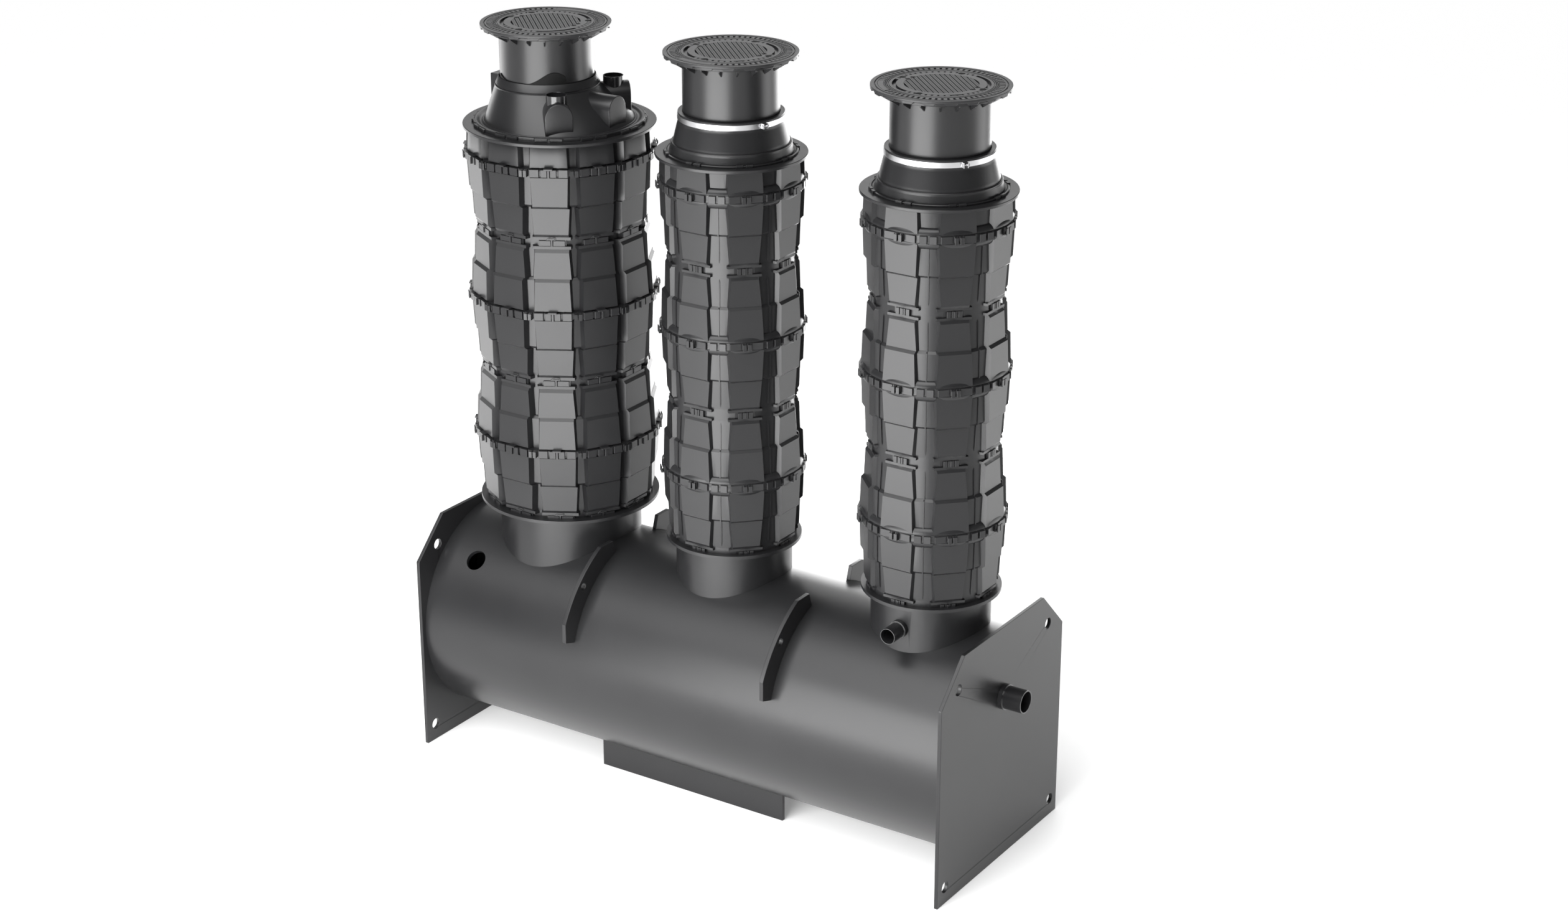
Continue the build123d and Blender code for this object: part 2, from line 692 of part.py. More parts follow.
def telescopic_tube(index):
    """Sliding tube of an upper section, with its head plate and the gussets under it."""
    x = TUBE_X[index]
    with BuildPart() as tube:
        add(turned(x, [
            (TUBE_R - TUBE_WALL, TUBE_BOTTOM_Z),
            (TUBE_R, TUBE_BOTTOM_Z),
            (TUBE_R, HEAD_Z),
            (FRAME_UNDER_R, HEAD_Z),
            (FRAME_UNDER_R, FRAME_Z),
            (TUBE_R - TUBE_WALL, FRAME_Z),
        ]))
        for turn in range(GUSSET_COUNT):
            angle = math.radians(GUSSET_PHASE[index] + turn * 360 / GUSSET_COUNT)
            out = (math.sin(angle), -math.cos(angle), 0)
            with BuildSketch(Plane(origin=(x, 0, 0), x_dir=out, z_dir=(out[1], -out[0], 0))):
                with BuildLine():
                    Polyline(
                        (TUBE_R - TUBE_WALL / 2, HEAD_Z), (FRAME_UNDER_R - GUSSET_LIP, HEAD_Z),
                        (FRAME_UNDER_R - GUSSET_LIP, HEAD_Z - GUSSET_LIP),
                        (TUBE_R - TUBE_WALL / 2, HEAD_Z - GUSSET_DROP), close=True,
                    )
                make_face()
            extrude(amount=GUSSET_T / 2, both=True)
    return tube.part


def cover_frame(index):
    """Cast frame ring round the lid, on the head of the telescopic tube."""
    return turned(TUBE_X[index], [
        (LID_R, FRAME_Z),
        (FRAME_UNDER_R, FRAME_Z),
        (COVER_R, COVER_TOP_Z - FRAME_EDGE_T),
        (COVER_R, COVER_TOP_Z),
        (LID_R, COVER_TOP_Z),
    ])


def lid(index):
    """Round lid that rests in the frame, on the head of the telescopic tube."""
    with BuildPart() as disc:
        with BuildSketch(level(TUBE_X[index], FRAME_Z)):
            Circle(LID_R - LID_CLEARANCE)
        extrude(amount=FRAME_T)
    return disc.part


for index, side_name in enumerate(SIDES):
    save(telescopic_tube(index), f"telescopic_tube_{side_name}")
    save(cover_frame(index), f"cover_frame_{side_name}")
    save(lid(index), f"lid_{side_name}")


def clamp_plane(index, height):
    """Level plane on a small riser's axis, turned so that its local x runs through the closures."""
    x_dir = Vector(1, 0, 0).rotate(Axis.Z, CLAMP_PHASE[index - 1])
    return Plane(origin=(RISER_X[index], 0, CONE_Z + CLAMP_Z + height), x_dir=x_dir, z_dir=(0, 0, 1))


def closure_line(index):
    """Upright plane across both closures of a clamp band, with its origin at mid-height."""
    middle = clamp_plane(index, CLAMP_HEIGHT / 2)
    return Plane(origin=middle.origin, x_dir=middle.x_dir, z_dir=-middle.y_dir)


def clamp_band(index):
    """Two half bands round the cone's collar, with a pair of bored lugs at each closure."""
    with BuildPart() as band:
        with BuildSketch(clamp_plane(index, 0)):
            Circle(CLAMP_R)
            lug_middle = COLLAR_TOP_R + (CLAMP_T + CLAMP_LUG_REACH) / 2
            with Locations((lug_middle, 0), (-lug_middle, 0)):
                Rectangle(CLAMP_LUG_REACH + CLAMP_T, 2 * LUG_BACK)
            Circle(COLLAR_TOP_R, mode=Mode.SUBTRACT)
            Rectangle(3 * CLAMP_R, CLAMP_GAP, mode=Mode.SUBTRACT)
        extrude(amount=CLAMP_HEIGHT)
        with BuildSketch(closure_line(index)):
            with Locations((BOLT_AXIS_R, 0), (-BOLT_AXIS_R, 0)):
                Circle(CLAMP_BOLT_R)
        extrude(amount=LUG_BACK, both=True, mode=Mode.SUBTRACT)
    return band.part


def clamp_bolts(index):
    """The closures' two bolts, each with its head and nut outside the lugs."""
    line = closure_line(index)
    with BuildPart() as bolts:
        with BuildSketch(line):
            with Locations((BOLT_AXIS_R, 0), (-BOLT_AXIS_R, 0)):
                Circle(CLAMP_BOLT_R)
        extrude(amount=LUG_BACK + CLAMP_NUT_T / 2, both=True)
        for side_offset in (LUG_BACK, -LUG_BACK - CLAMP_NUT_T):
            with BuildSketch(line.offset(side_offset)):
                with Locations((BOLT_AXIS_R, 0), (-BOLT_AXIS_R, 0)):
                    RegularPolygon(CLAMP_NUT_FLATS / 2, 6, major_radius=False)
            extrude(amount=CLAMP_NUT_T)
    return bolts.part


for index, side_name in enumerate(SIDES[1:], start=1):
    save(clamp_band(index), f"clamp_band_{side_name}")
    save(clamp_bolts(index), f"clamp_bolts_{side_name}")
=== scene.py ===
"""Looks of an underground grease separator: a black plastic tank with three stacked risers."""

from __future__ import annotations

import json
import logging
import math
from dataclasses import dataclass
from enum import Enum
from typing import Sequence

import bmesh
import bpy
from mathutils import Matrix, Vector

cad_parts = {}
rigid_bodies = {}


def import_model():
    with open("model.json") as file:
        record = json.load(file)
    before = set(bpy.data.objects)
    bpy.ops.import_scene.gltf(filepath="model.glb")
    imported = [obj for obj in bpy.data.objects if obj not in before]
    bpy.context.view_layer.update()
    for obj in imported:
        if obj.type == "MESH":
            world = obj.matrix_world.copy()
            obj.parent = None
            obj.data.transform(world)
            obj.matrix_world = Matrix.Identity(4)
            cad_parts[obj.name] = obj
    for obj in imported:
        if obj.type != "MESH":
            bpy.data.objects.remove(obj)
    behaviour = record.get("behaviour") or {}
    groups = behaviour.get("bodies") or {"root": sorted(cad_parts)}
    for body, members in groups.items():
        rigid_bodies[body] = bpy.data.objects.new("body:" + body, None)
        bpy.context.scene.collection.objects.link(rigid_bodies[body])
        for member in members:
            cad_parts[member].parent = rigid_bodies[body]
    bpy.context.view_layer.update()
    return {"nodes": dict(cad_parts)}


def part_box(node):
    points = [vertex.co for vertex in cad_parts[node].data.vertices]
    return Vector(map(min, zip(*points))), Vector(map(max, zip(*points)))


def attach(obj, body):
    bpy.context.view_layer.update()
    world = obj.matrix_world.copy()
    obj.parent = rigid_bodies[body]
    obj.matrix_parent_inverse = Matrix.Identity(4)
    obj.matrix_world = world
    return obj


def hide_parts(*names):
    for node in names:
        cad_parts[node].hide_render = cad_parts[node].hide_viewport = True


LOG = logging.getLogger("grease_separator")
MM = 0.001
FULL_TURN = 2 * math.pi
Point = tuple[float, float, float]
Profile = Sequence[tuple[float, float]]


class Side(Enum):
    """The three risers, named as their nodes are."""

    LARGE = "large"
    MIDDLE = "middle"
    RIGHT = "right"


class Body(Enum):
    """The bodies of the frame that the pieces ride on."""

    SEPARATOR = "separator"
    UPPER_LARGE = "upper_section_large"
    UPPER_MIDDLE = "upper_section_middle"
    UPPER_RIGHT = "upper_section_right"


class Slot(Enum):
    """The record's material slots."""

    PLASTIC = "pe_black"
    PIPE = "pipe_black"
    RUBBER = "rubber"
    STAINLESS = "stainless"
    IRON = "cast_iron"


UPPER_BODY = {
    Side.LARGE: Body.UPPER_LARGE, Side.MIDDLE: Body.UPPER_MIDDLE, Side.RIGHT: Body.UPPER_RIGHT}


# Node graphs


class Graph:
    """A small helper that adds nodes to a tree and links them."""

    def __init__(self, tree: bpy.types.NodeTree) -> None:
        """Keep the tree that the nodes go into."""
        self.tree = tree

    def node(self, kind: str, inputs: dict | None = None, **settings: object) -> bpy.types.Node:
        """Add one node.

        Args:
            kind: the node's type name.
            inputs: values or sockets for its inputs, by name or number.
            settings: its own properties.

        Returns:
            The new node.
        """
        made = self.tree.nodes.new(kind)
        for name, value in settings.items():
            setattr(made, name, value)
        for key, value in (inputs or {}).items():
            if isinstance(value, bpy.types.NodeSocket):
                self.tree.links.new(value, made.inputs[key])
            else:
                made.inputs[key].default_value = value
        return made

    def math(self, operation: str, first: object, second: object = 0.0) -> bpy.types.NodeSocket:
        """Add a Math node and return its result."""
        return self.node("ShaderNodeMath", {0: first, 1: second}, operation=operation).outputs[0]

    def vector(self, x: object = 0.0, z: object = 0.0) -> bpy.types.NodeSocket:
        """Join an X and a Z value to a vector."""
        return self.node("ShaderNodeCombineXYZ", {"X": x, "Z": z}).outputs[0]

    def mixed(self, factor: bpy.types.NodeSocket, first: Sequence[float],
              second: Sequence[float]) -> bpy.types.NodeSocket:
        """Mix two colours, given as red, green and blue."""
        mix = self.node("ShaderNodeMix", {"Factor": factor}, data_type="RGBA")
        for name, color in (("A", first), ("B", second)):
            for socket in mix.inputs:
                if socket.name == name and socket.type == "RGBA":
                    socket.default_value = (*color, 1.0)
        return mix.outputs["Result"]


# Finishes


@dataclass(frozen=True)
class Finish:
    """What each finish has: its name and colour, how rough it is and how it varies."""

    name: str
    color: tuple[float, float, float]
    roughness: float
    grain: float = 0.0022
    bump: float = 0.12
    metallic: float = 0.0
    specular: float = 0.5
    patch_scale: float = 2.3
    tones: tuple[float, float] = (0.86, 1.16)
    gloss_spread: tuple[float, float] = (-0.03, 0.04)

    def build(self) -> bpy.types.Material:
        """Make the node material.

        Returns:
            The material, with its grain and its uneven gloss on Object coordinates.
        """
        material = bpy.data.materials.new(self.name)
        material.use_nodes = True
        material.node_tree.nodes.clear()
        graph = Graph(material.node_tree)
        place = graph.node("ShaderNodeTexCoord").outputs["Object"]
        color, roughness, normal = self.surface(graph, place)
        shader = graph.node("ShaderNodeBsdfPrincipled", {
            "Base Color": color, "Roughness": roughness, "Normal": normal,
            "Metallic": self.metallic, "Specular IOR Level": self.specular})
        graph.node("ShaderNodeOutputMaterial", {"Surface": shader.outputs[0]})
        return material

    def surface(self, graph: Graph, place: bpy.types.NodeSocket) -> tuple:
        """Colour, roughness and normal sockets of the finish.

        Args:
            graph: the material's graph.
            place: Object coordinates.

        Returns:
            The three sockets.
        """
        grain = graph.node(
            "ShaderNodeTexNoise", {"Vector": place, "Scale": 1 / self.grain, "Detail": 2.0})
        patches = graph.node(
            "ShaderNodeTexNoise", {"Vector": place, "Scale": self.patch_scale, "Detail": 3.0})
        color = graph.mixed(patches.outputs[0], *(self.toned(tone) for tone in self.tones))
        return (color, *self.relief(graph, patches, grain, self.gloss_spread, self.grain / 2))

    def toned(self, factor: float) -> tuple[float, ...]:
        """The colour times a factor."""
        return tuple(channel * factor for channel in self.color)

    def relief(self, graph: Graph, gloss: bpy.types.Node, height: bpy.types.Node,
               spread: tuple[float, float], distance: float) -> tuple:
        """Roughness and normal from two noises.

        Args:
            graph: the material's graph.
            gloss: the noise that varies the roughness.
            height: the noise that is the grain.
            spread: what the first adds to the roughness, at its least and most.
            distance: height of the grain, in metres.

        Returns:
            The two sockets.
        """
        roughness = graph.node("ShaderNodeMapRange", {
            "Value": gloss.outputs[0], "To Min": self.roughness + spread[0],
            "To Max": self.roughness + spread[1]})
        bump = graph.node("ShaderNodeBump", {
            "Height": height.outputs[0], "Strength": self.bump, "Distance": distance})
        return roughness.outputs[0], bump.outputs[0]


@dataclass(frozen=True)
class BrushedSteel(Finish):
    """Stainless band, brushed along its length."""

    tones: tuple[float, float] = (0.9, 1.0)
    gloss_spread: tuple[float, float] = (0.0, 0.15)
    brush_scale: Point = (8.0, 8.0, 900.0)
    brush_depth: float = 0.0005

    def surface(self, graph: Graph, place: bpy.types.NodeSocket) -> tuple:
        """Colour, roughness and normal sockets of the finish.

        Args:
            graph: the material's graph.
            place: Object coordinates.

        Returns:
            The three sockets.
        """
        drawn = graph.node("ShaderNodeMapping", {"Vector": place, "Scale": self.brush_scale})
        brushed = graph.node(
            "ShaderNodeTexNoise", {"Vector": drawn.outputs[0], "Scale": 1.0, "Detail": 3.0})
        color = graph.mixed(brushed.outputs[0], *(self.toned(tone) for tone in self.tones))
        return (color, *self.relief(graph, brushed, brushed, self.gloss_spread, self.brush_depth))


PLASTIC = Finish(
    "black_polyethylene", (0.014, 0.014, 0.0148), 0.31, grain=0.004, bump=0.14, specular=0.45)
PIPE_PLASTIC = Finish("black_pipe", (0.021, 0.021, 0.022), 0.33, bump=0.05, specular=0.55)
COVER_IRON = Finish(
    "coated_iron", (0.019, 0.019, 0.020), 0.36, grain=0.003, bump=0.2, specular=0.46)
SEAL_RUBBER = Finish("seal_rubber", (0.008, 0.008, 0.008), 0.7, bump=0.08, specular=0.16)
GLOSS_PIPE = Finish("gloss_pipe", (0.016, 0.016, 0.017), 0.16, bump=0.02, specular=0.75)
STAINLESS = BrushedSteel("stainless_band", (0.72, 0.72, 0.73), 0.25, bump=0.05, metallic=1.0)
NODE_FINISHES = (
    (("clamp_band", "clamp_bolts"), STAINLESS),
    (("cover_frame", "lid"), COVER_IRON),
    (("inlet_pipe", "outlet_pipe", "sampling_stub", "dip_pipe"), PIPE_PLASTIC),
    (("sealing_sleeve",), SEAL_RUBBER),
)


# Meshes


def evaluated_mesh(source: bpy.types.Object, name: str) -> bpy.types.Mesh:
    """The object's mesh with its modifiers, as a plain mesh; the object is removed.

    Args:
        source: an object with live modifiers.
        name: the new mesh's name.

    Returns:
        The new mesh.
    """
    bpy.context.view_layer.update()
    graph = bpy.context.evaluated_depsgraph_get()
    result = bpy.data.meshes.new_from_object(source.evaluated_get(graph), depsgraph=graph)
    result.name = name
    bpy.data.objects.remove(source)
    return result


def smooth_by_angle(mesh: bpy.types.Mesh, degrees: float) -> None:
    """Shade a mesh smooth apart from edges that turn by more than an angle."""
    mesh.shade_smooth()
    mesh.set_sharp_from_angle(angle=math.radians(degrees))


def linked(name: str, mesh: bpy.types.Mesh) -> bpy.types.Object:
    """A new object of a mesh, in the scene."""
    made = bpy.data.objects.new(name, mesh)
    bpy.context.scene.collection.objects.link(made)
    return made


def add_bevel(source: bpy.types.Object, width: float, segments: int, degrees: float) -> None:
    """Round the object's edges that turn by more than an angle."""
    bevel = source.modifiers.new("rounded", "BEVEL")
    bevel.width, bevel.segments = width, segments
    bevel.limit_method, bevel.angle_limit = "ANGLE", math.radians(degrees)


def mesh_from(name: str, points: Sequence[Point], faces: Sequence[Sequence[int]]) -> bpy.types.Mesh:
    """A mesh from points in millimetres, with doubles merged and normals outwards.

    Args:
        name: the mesh's name.
        points: its points, in millimetres.
        faces: its faces.

    Returns:
        The mesh, in metres.
    """
    mesh = bpy.data.meshes.new(name)
    mesh.from_pydata([tuple(MM * value for value in point) for point in points], [], faces)
    shape = bmesh.new()
    shape.from_mesh(mesh)
    bmesh.ops.remove_doubles(shape, verts=shape.verts, dist=MM * 0.01)
    bmesh.ops.recalc_face_normals(shape, faces=shape.faces)
    shape.to_mesh(mesh)
    shape.free()
    return mesh


def joined(name: str, parts: Sequence[bpy.types.Mesh]) -> bpy.types.Mesh:
    """One mesh from several, which are removed.

    Args:
        name: the new mesh's name.
        parts: the meshes.

    Returns:
        The joined mesh.
    """
    shape = bmesh.new()
    for part in parts:
        shape.from_mesh(part)
    mesh = bpy.data.meshes.new(name)
    shape.to_mesh(mesh)
    shape.free()
    for part in parts:
        bpy.data.meshes.remove(part)
    return mesh


def turned(mesh: bpy.types.Mesh, degrees: float) -> bpy.types.Mesh:
    """The mesh itself, turned about Z."""
    mesh.transform(Matrix.Rotation(math.radians(degrees), 4, "Z"))
    return mesh


def shifted(mesh: bpy.types.Mesh, x: float, z: float = 0.0) -> bpy.types.Mesh:
    """The mesh itself, moved in X and Z by metres."""
    mesh.transform(Matrix.Translation((x, 0, z)))
    return mesh


def ring_loft(name: str, rings: Sequence[Point], segments: int = 144) -> bpy.types.Mesh:
    """A closed surface through level circles, the last joined to the first.

    Args:
        name: the mesh's name.
        rings: (centre x, radius, z) of each circle, in millimetres.
        segments: how many faces go round.

    Returns:
        The mesh.
    """
    points, faces = [], []
    for center, radius, z in rings:
        for turn in range(segments):
            angle = FULL_TURN * turn / segments
            points.append((center + radius * math.cos(angle), radius * math.sin(angle), z))
    for here in range(len(rings)):
        there = (here + 1) % len(rings)
        for turn in range(segments):
            after = (turn + 1) % segments
            faces.append((here * segments + turn, here * segments + after,
                          there * segments + after, there * segments + turn))
    return mesh_from(name, points, faces)


def lathe(name: str, profile: Profile, segments: int = 144) -> bpy.types.Mesh:
    """A ring turned about Z from a closed outline of (radius, z) points in millimetres."""
    return ring_loft(name, [(0, radius, z) for radius, z in profile], segments)


def prism(outline: Profile, span: tuple[float, float]) -> bpy.types.Mesh:
    """A straight prism along X.

    Args:
        outline: (y, z) points of its end, in millimetres.
        span: x of its two ends.

    Returns:
        The mesh.
    """
    points = [(x, y, z) for x in span for y, z in outline]
    size = len(outline)
    faces: list[Sequence[int]] = [tuple(range(size)), tuple(range(2 * size - 1, size - 1, -1))]
    faces += [(n, (n + 1) % size, (n + 1) % size + size, n + size) for n in range(size)]
    return mesh_from("prism", points, faces)


def blocks(face: float, rows: Sequence[Sequence[float]]) -> list[bpy.types.Mesh]:
    """Upright blocks on the +X side of a ring, from a table.

    Args:
        face: distance from the axis that backs and fronts are counted from, in millimetres.
        rows: back, front, left, right, foot and top of each block.

    Returns:
        The meshes.
    """
    return [
        prism(((left, foot), (right, foot), (right, top), (left, top)), (face + back, face + front))
        for back, front, left, right, foot, top in rows
    ]


def strip(name: str, sections: Sequence[Sequence[Point]]) -> bpy.types.Mesh:
    """A solid bar through a row of four-cornered sections, given in millimetres."""
    points = [point for section in sections for point in section]
    end = len(points) - 4
    faces = [(0, 1, 2, 3), (end, end + 3, end + 2, end + 1)]
    for here in range(0, end, 4):
        faces += [(here + n, here + (n + 1) % 4, here + 4 + (n + 1) % 4, here + 4 + n)
                  for n in range(4)]
    return mesh_from(name, points, faces)


def arc_block(radius: tuple[float, float], degrees: tuple[float, float],
              z: tuple[float, float]) -> bpy.types.Mesh:
    """A block bent round the Z axis, with a step about every three degrees.

    Args:
        radius: inner and outer face, in millimetres.
        degrees: its two ends.
        z: its lower and upper face.

    Returns:
        The mesh.
    """
    steps = max(1, round(abs(degrees[1] - degrees[0]) / 3))
    corners = ((radius[0], z[0]), (radius[1], z[0]), (radius[1], z[1]), (radius[0], z[1]))
    sections = []
    for step in range(steps + 1):
        angle = math.radians(degrees[0] + (degrees[1] - degrees[0]) * step / steps)
        sections.append([(r * math.cos(angle), r * math.sin(angle), h) for r, h in corners])
    return strip("arc", sections)


# Repeats


class RepeatTree:
    """A Geometry Nodes tree with named inputs; each kind of tree says how it repeats a mesh."""

    inputs: tuple[tuple[str, str], ...] = ()

    def __init__(self) -> None:
        """Build the tree, which ends by giving the realized copies their material."""
        self.group = bpy.data.node_groups.new(type(self).__name__, "GeometryNodeTree")
        self.sockets: dict[str, str] = {}
        face = self.group.interface
        for name, kind in (("Geometry", "Geometry"), *self.inputs, ("Material", "Material")):
            made = face.new_socket(name, in_out="INPUT", socket_type=f"NodeSocket{kind}")
            self.sockets[name] = made.identifier
        face.new_socket("Geometry", in_out="OUTPUT", socket_type="NodeSocketGeometry")
        graph = Graph(self.group)
        given = graph.node("NodeGroupInput").outputs
        real = self.build(graph, given)
        painted = graph.node(
            "GeometryNodeSetMaterial", {"Geometry": real, "Material": given["Material"]})
        graph.node("NodeGroupOutput", {0: painted.outputs[0]})

    def build(self, graph: Graph, given: bpy.types.NodeOutputs) -> bpy.types.NodeSocket:
        """Add the nodes of one kind of tree and return its realized geometry."""
        raise NotImplementedError

    def run(self, source: bpy.types.Object, name: str, values: dict) -> bpy.types.Mesh:
        """Send an object's mesh through the tree.

        Args:
            source: the object, which is removed.
            name: the new mesh's name.
            values: the tree's inputs by name.

        Returns:
            The plain mesh.
        """
        modifier = source.modifiers.new("repeat", "NODES")
        modifier.node_group = self.group
        for key, value in values.items():
            modifier[self.sockets[key]] = value
        return evaluated_mesh(source, name)


class SectorTree(RepeatTree):
    """Turns one sector round the axis and stacks the rings it makes."""

    inputs = (
        ("Count", "Int"), ("Skip From", "Int"), ("Skip Count", "Int"), ("Levels", "Int"),
        ("Phase", "Float"), ("Foot", "Float"), ("Pitch", "Float"), ("Flip", "Float"),
        ("Axis X", "Float"),
    )
    seam = 0.00002

    def build(self, graph: Graph, given: bpy.types.NodeOutputs) -> bpy.types.NodeSocket:
        """Add a turn for each copy, then a place and a flip for each level.

        Args:
            graph: the tree's graph.
            given: its inputs.

        Returns:
            The realized geometry.
        """
        index = graph.node("GeometryNodeInputIndex").outputs[0]
        step = graph.math("DIVIDE", FULL_TURN, given["Count"])
        turn = graph.math("ADD", graph.math("MULTIPLY", index, step), given["Phase"])
        past = graph.math("SUBTRACT", index, given["Skip From"])
        wrapped = graph.math("FLOORED_MODULO", past, given["Count"])
        last = graph.math("SUBTRACT", given["Skip Count"], 0.5)
        points = graph.node("GeometryNodePoints", {"Count": given["Count"]})
        ring = graph.node("GeometryNodeInstanceOnPoints", {
            "Points": points.outputs[0], "Selection": graph.math("GREATER_THAN", wrapped, last),
            "Instance": given["Geometry"], "Rotation": graph.vector(z=turn)})
        whole = graph.node("GeometryNodeRealizeInstances", {"Geometry": ring.outputs[0]})
        closed = graph.node(
            "GeometryNodeMergeByDistance", {"Geometry": whole.outputs[0], "Distance": self.seam})
        even = graph.math("SUBTRACT", 1.0, graph.math("FLOORED_MODULO", index, 2.0))
        flipped = graph.math("MULTIPLY", even, given["Flip"])
        rise = graph.math("MULTIPLY", given["Pitch"], graph.math("ADD", index, flipped))
        height = graph.math("ADD", given["Foot"], rise)
        levels = graph.node("GeometryNodePoints", {"Count": given["Levels"]})
        seated = graph.node("GeometryNodeSetPosition", {
            "Geometry": levels.outputs[0], "Position": graph.vector(given["Axis X"], height)})
        tilt = graph.vector(x=graph.math("MULTIPLY", flipped, math.pi))
        stack = graph.node("GeometryNodeInstanceOnPoints", {
            "Points": seated.outputs[0], "Instance": closed.outputs[0], "Rotation": tilt})
        real = graph.node("GeometryNodeRealizeInstances", {"Geometry": stack.outputs[0]})
        return real.outputs[0]


class GridTree(RepeatTree):
    """Sets a tile on the points of a grid that lie inside a circle."""

    inputs = (("Along", "Float"), ("Across", "Float"), ("Radius", "Float"), ("Turn", "Float"))

    def build(self, graph: Graph, given: bpy.types.NodeOutputs) -> bpy.types.NodeSocket:
        """Add the grid, its round choice of points and the turn of the whole.

        Args:
            graph: the tree's graph.
            given: its inputs.

        Returns:
            The realized geometry.
        """
        reach = graph.math("MULTIPLY", given["Radius"], 2.0)
        sizes: dict[str, bpy.types.NodeSocket] = {}
        for axis, name in (("X", "Along"), ("Y", "Across")):
            number = graph.math("CEIL", graph.math("DIVIDE", reach, given[name]))
            sizes[f"Size {axis}"] = graph.math("MULTIPLY", number, given[name])
            sizes[f"Vertices {axis}"] = graph.math("ADD", number, 1.0)
        grid = graph.node("GeometryNodeMeshGrid", sizes)
        place = graph.node("GeometryNodeInputPosition").outputs[0]
        far = graph.node("ShaderNodeVectorMath", {0: place}, operation="LENGTH").outputs["Value"]
        tiles = graph.node("GeometryNodeInstanceOnPoints", {
            "Points": grid.outputs[0], "Instance": given["Geometry"],
            "Selection": graph.math("LESS_THAN", far, given["Radius"])})
        real = graph.node("GeometryNodeRealizeInstances", {"Geometry": tiles.outputs[0]})
        seated = graph.node("GeometryNodeTransform", {
            "Geometry": real.outputs[0], "Rotation": graph.vector(z=given["Turn"])})
        return seated.outputs[0]


@dataclass
class Repeat:
    """How a sector is repeated: round the axis, and in levels along it. Lengths are in metres."""

    count: int
    axis_x: float = 0.0
    levels: int = 1
    foot: float = 0.0
    pitch: float = 0.0
    flip: bool = False
    phase: float = 0.0
    skip_from: int = 0
    skip_count: int = 0


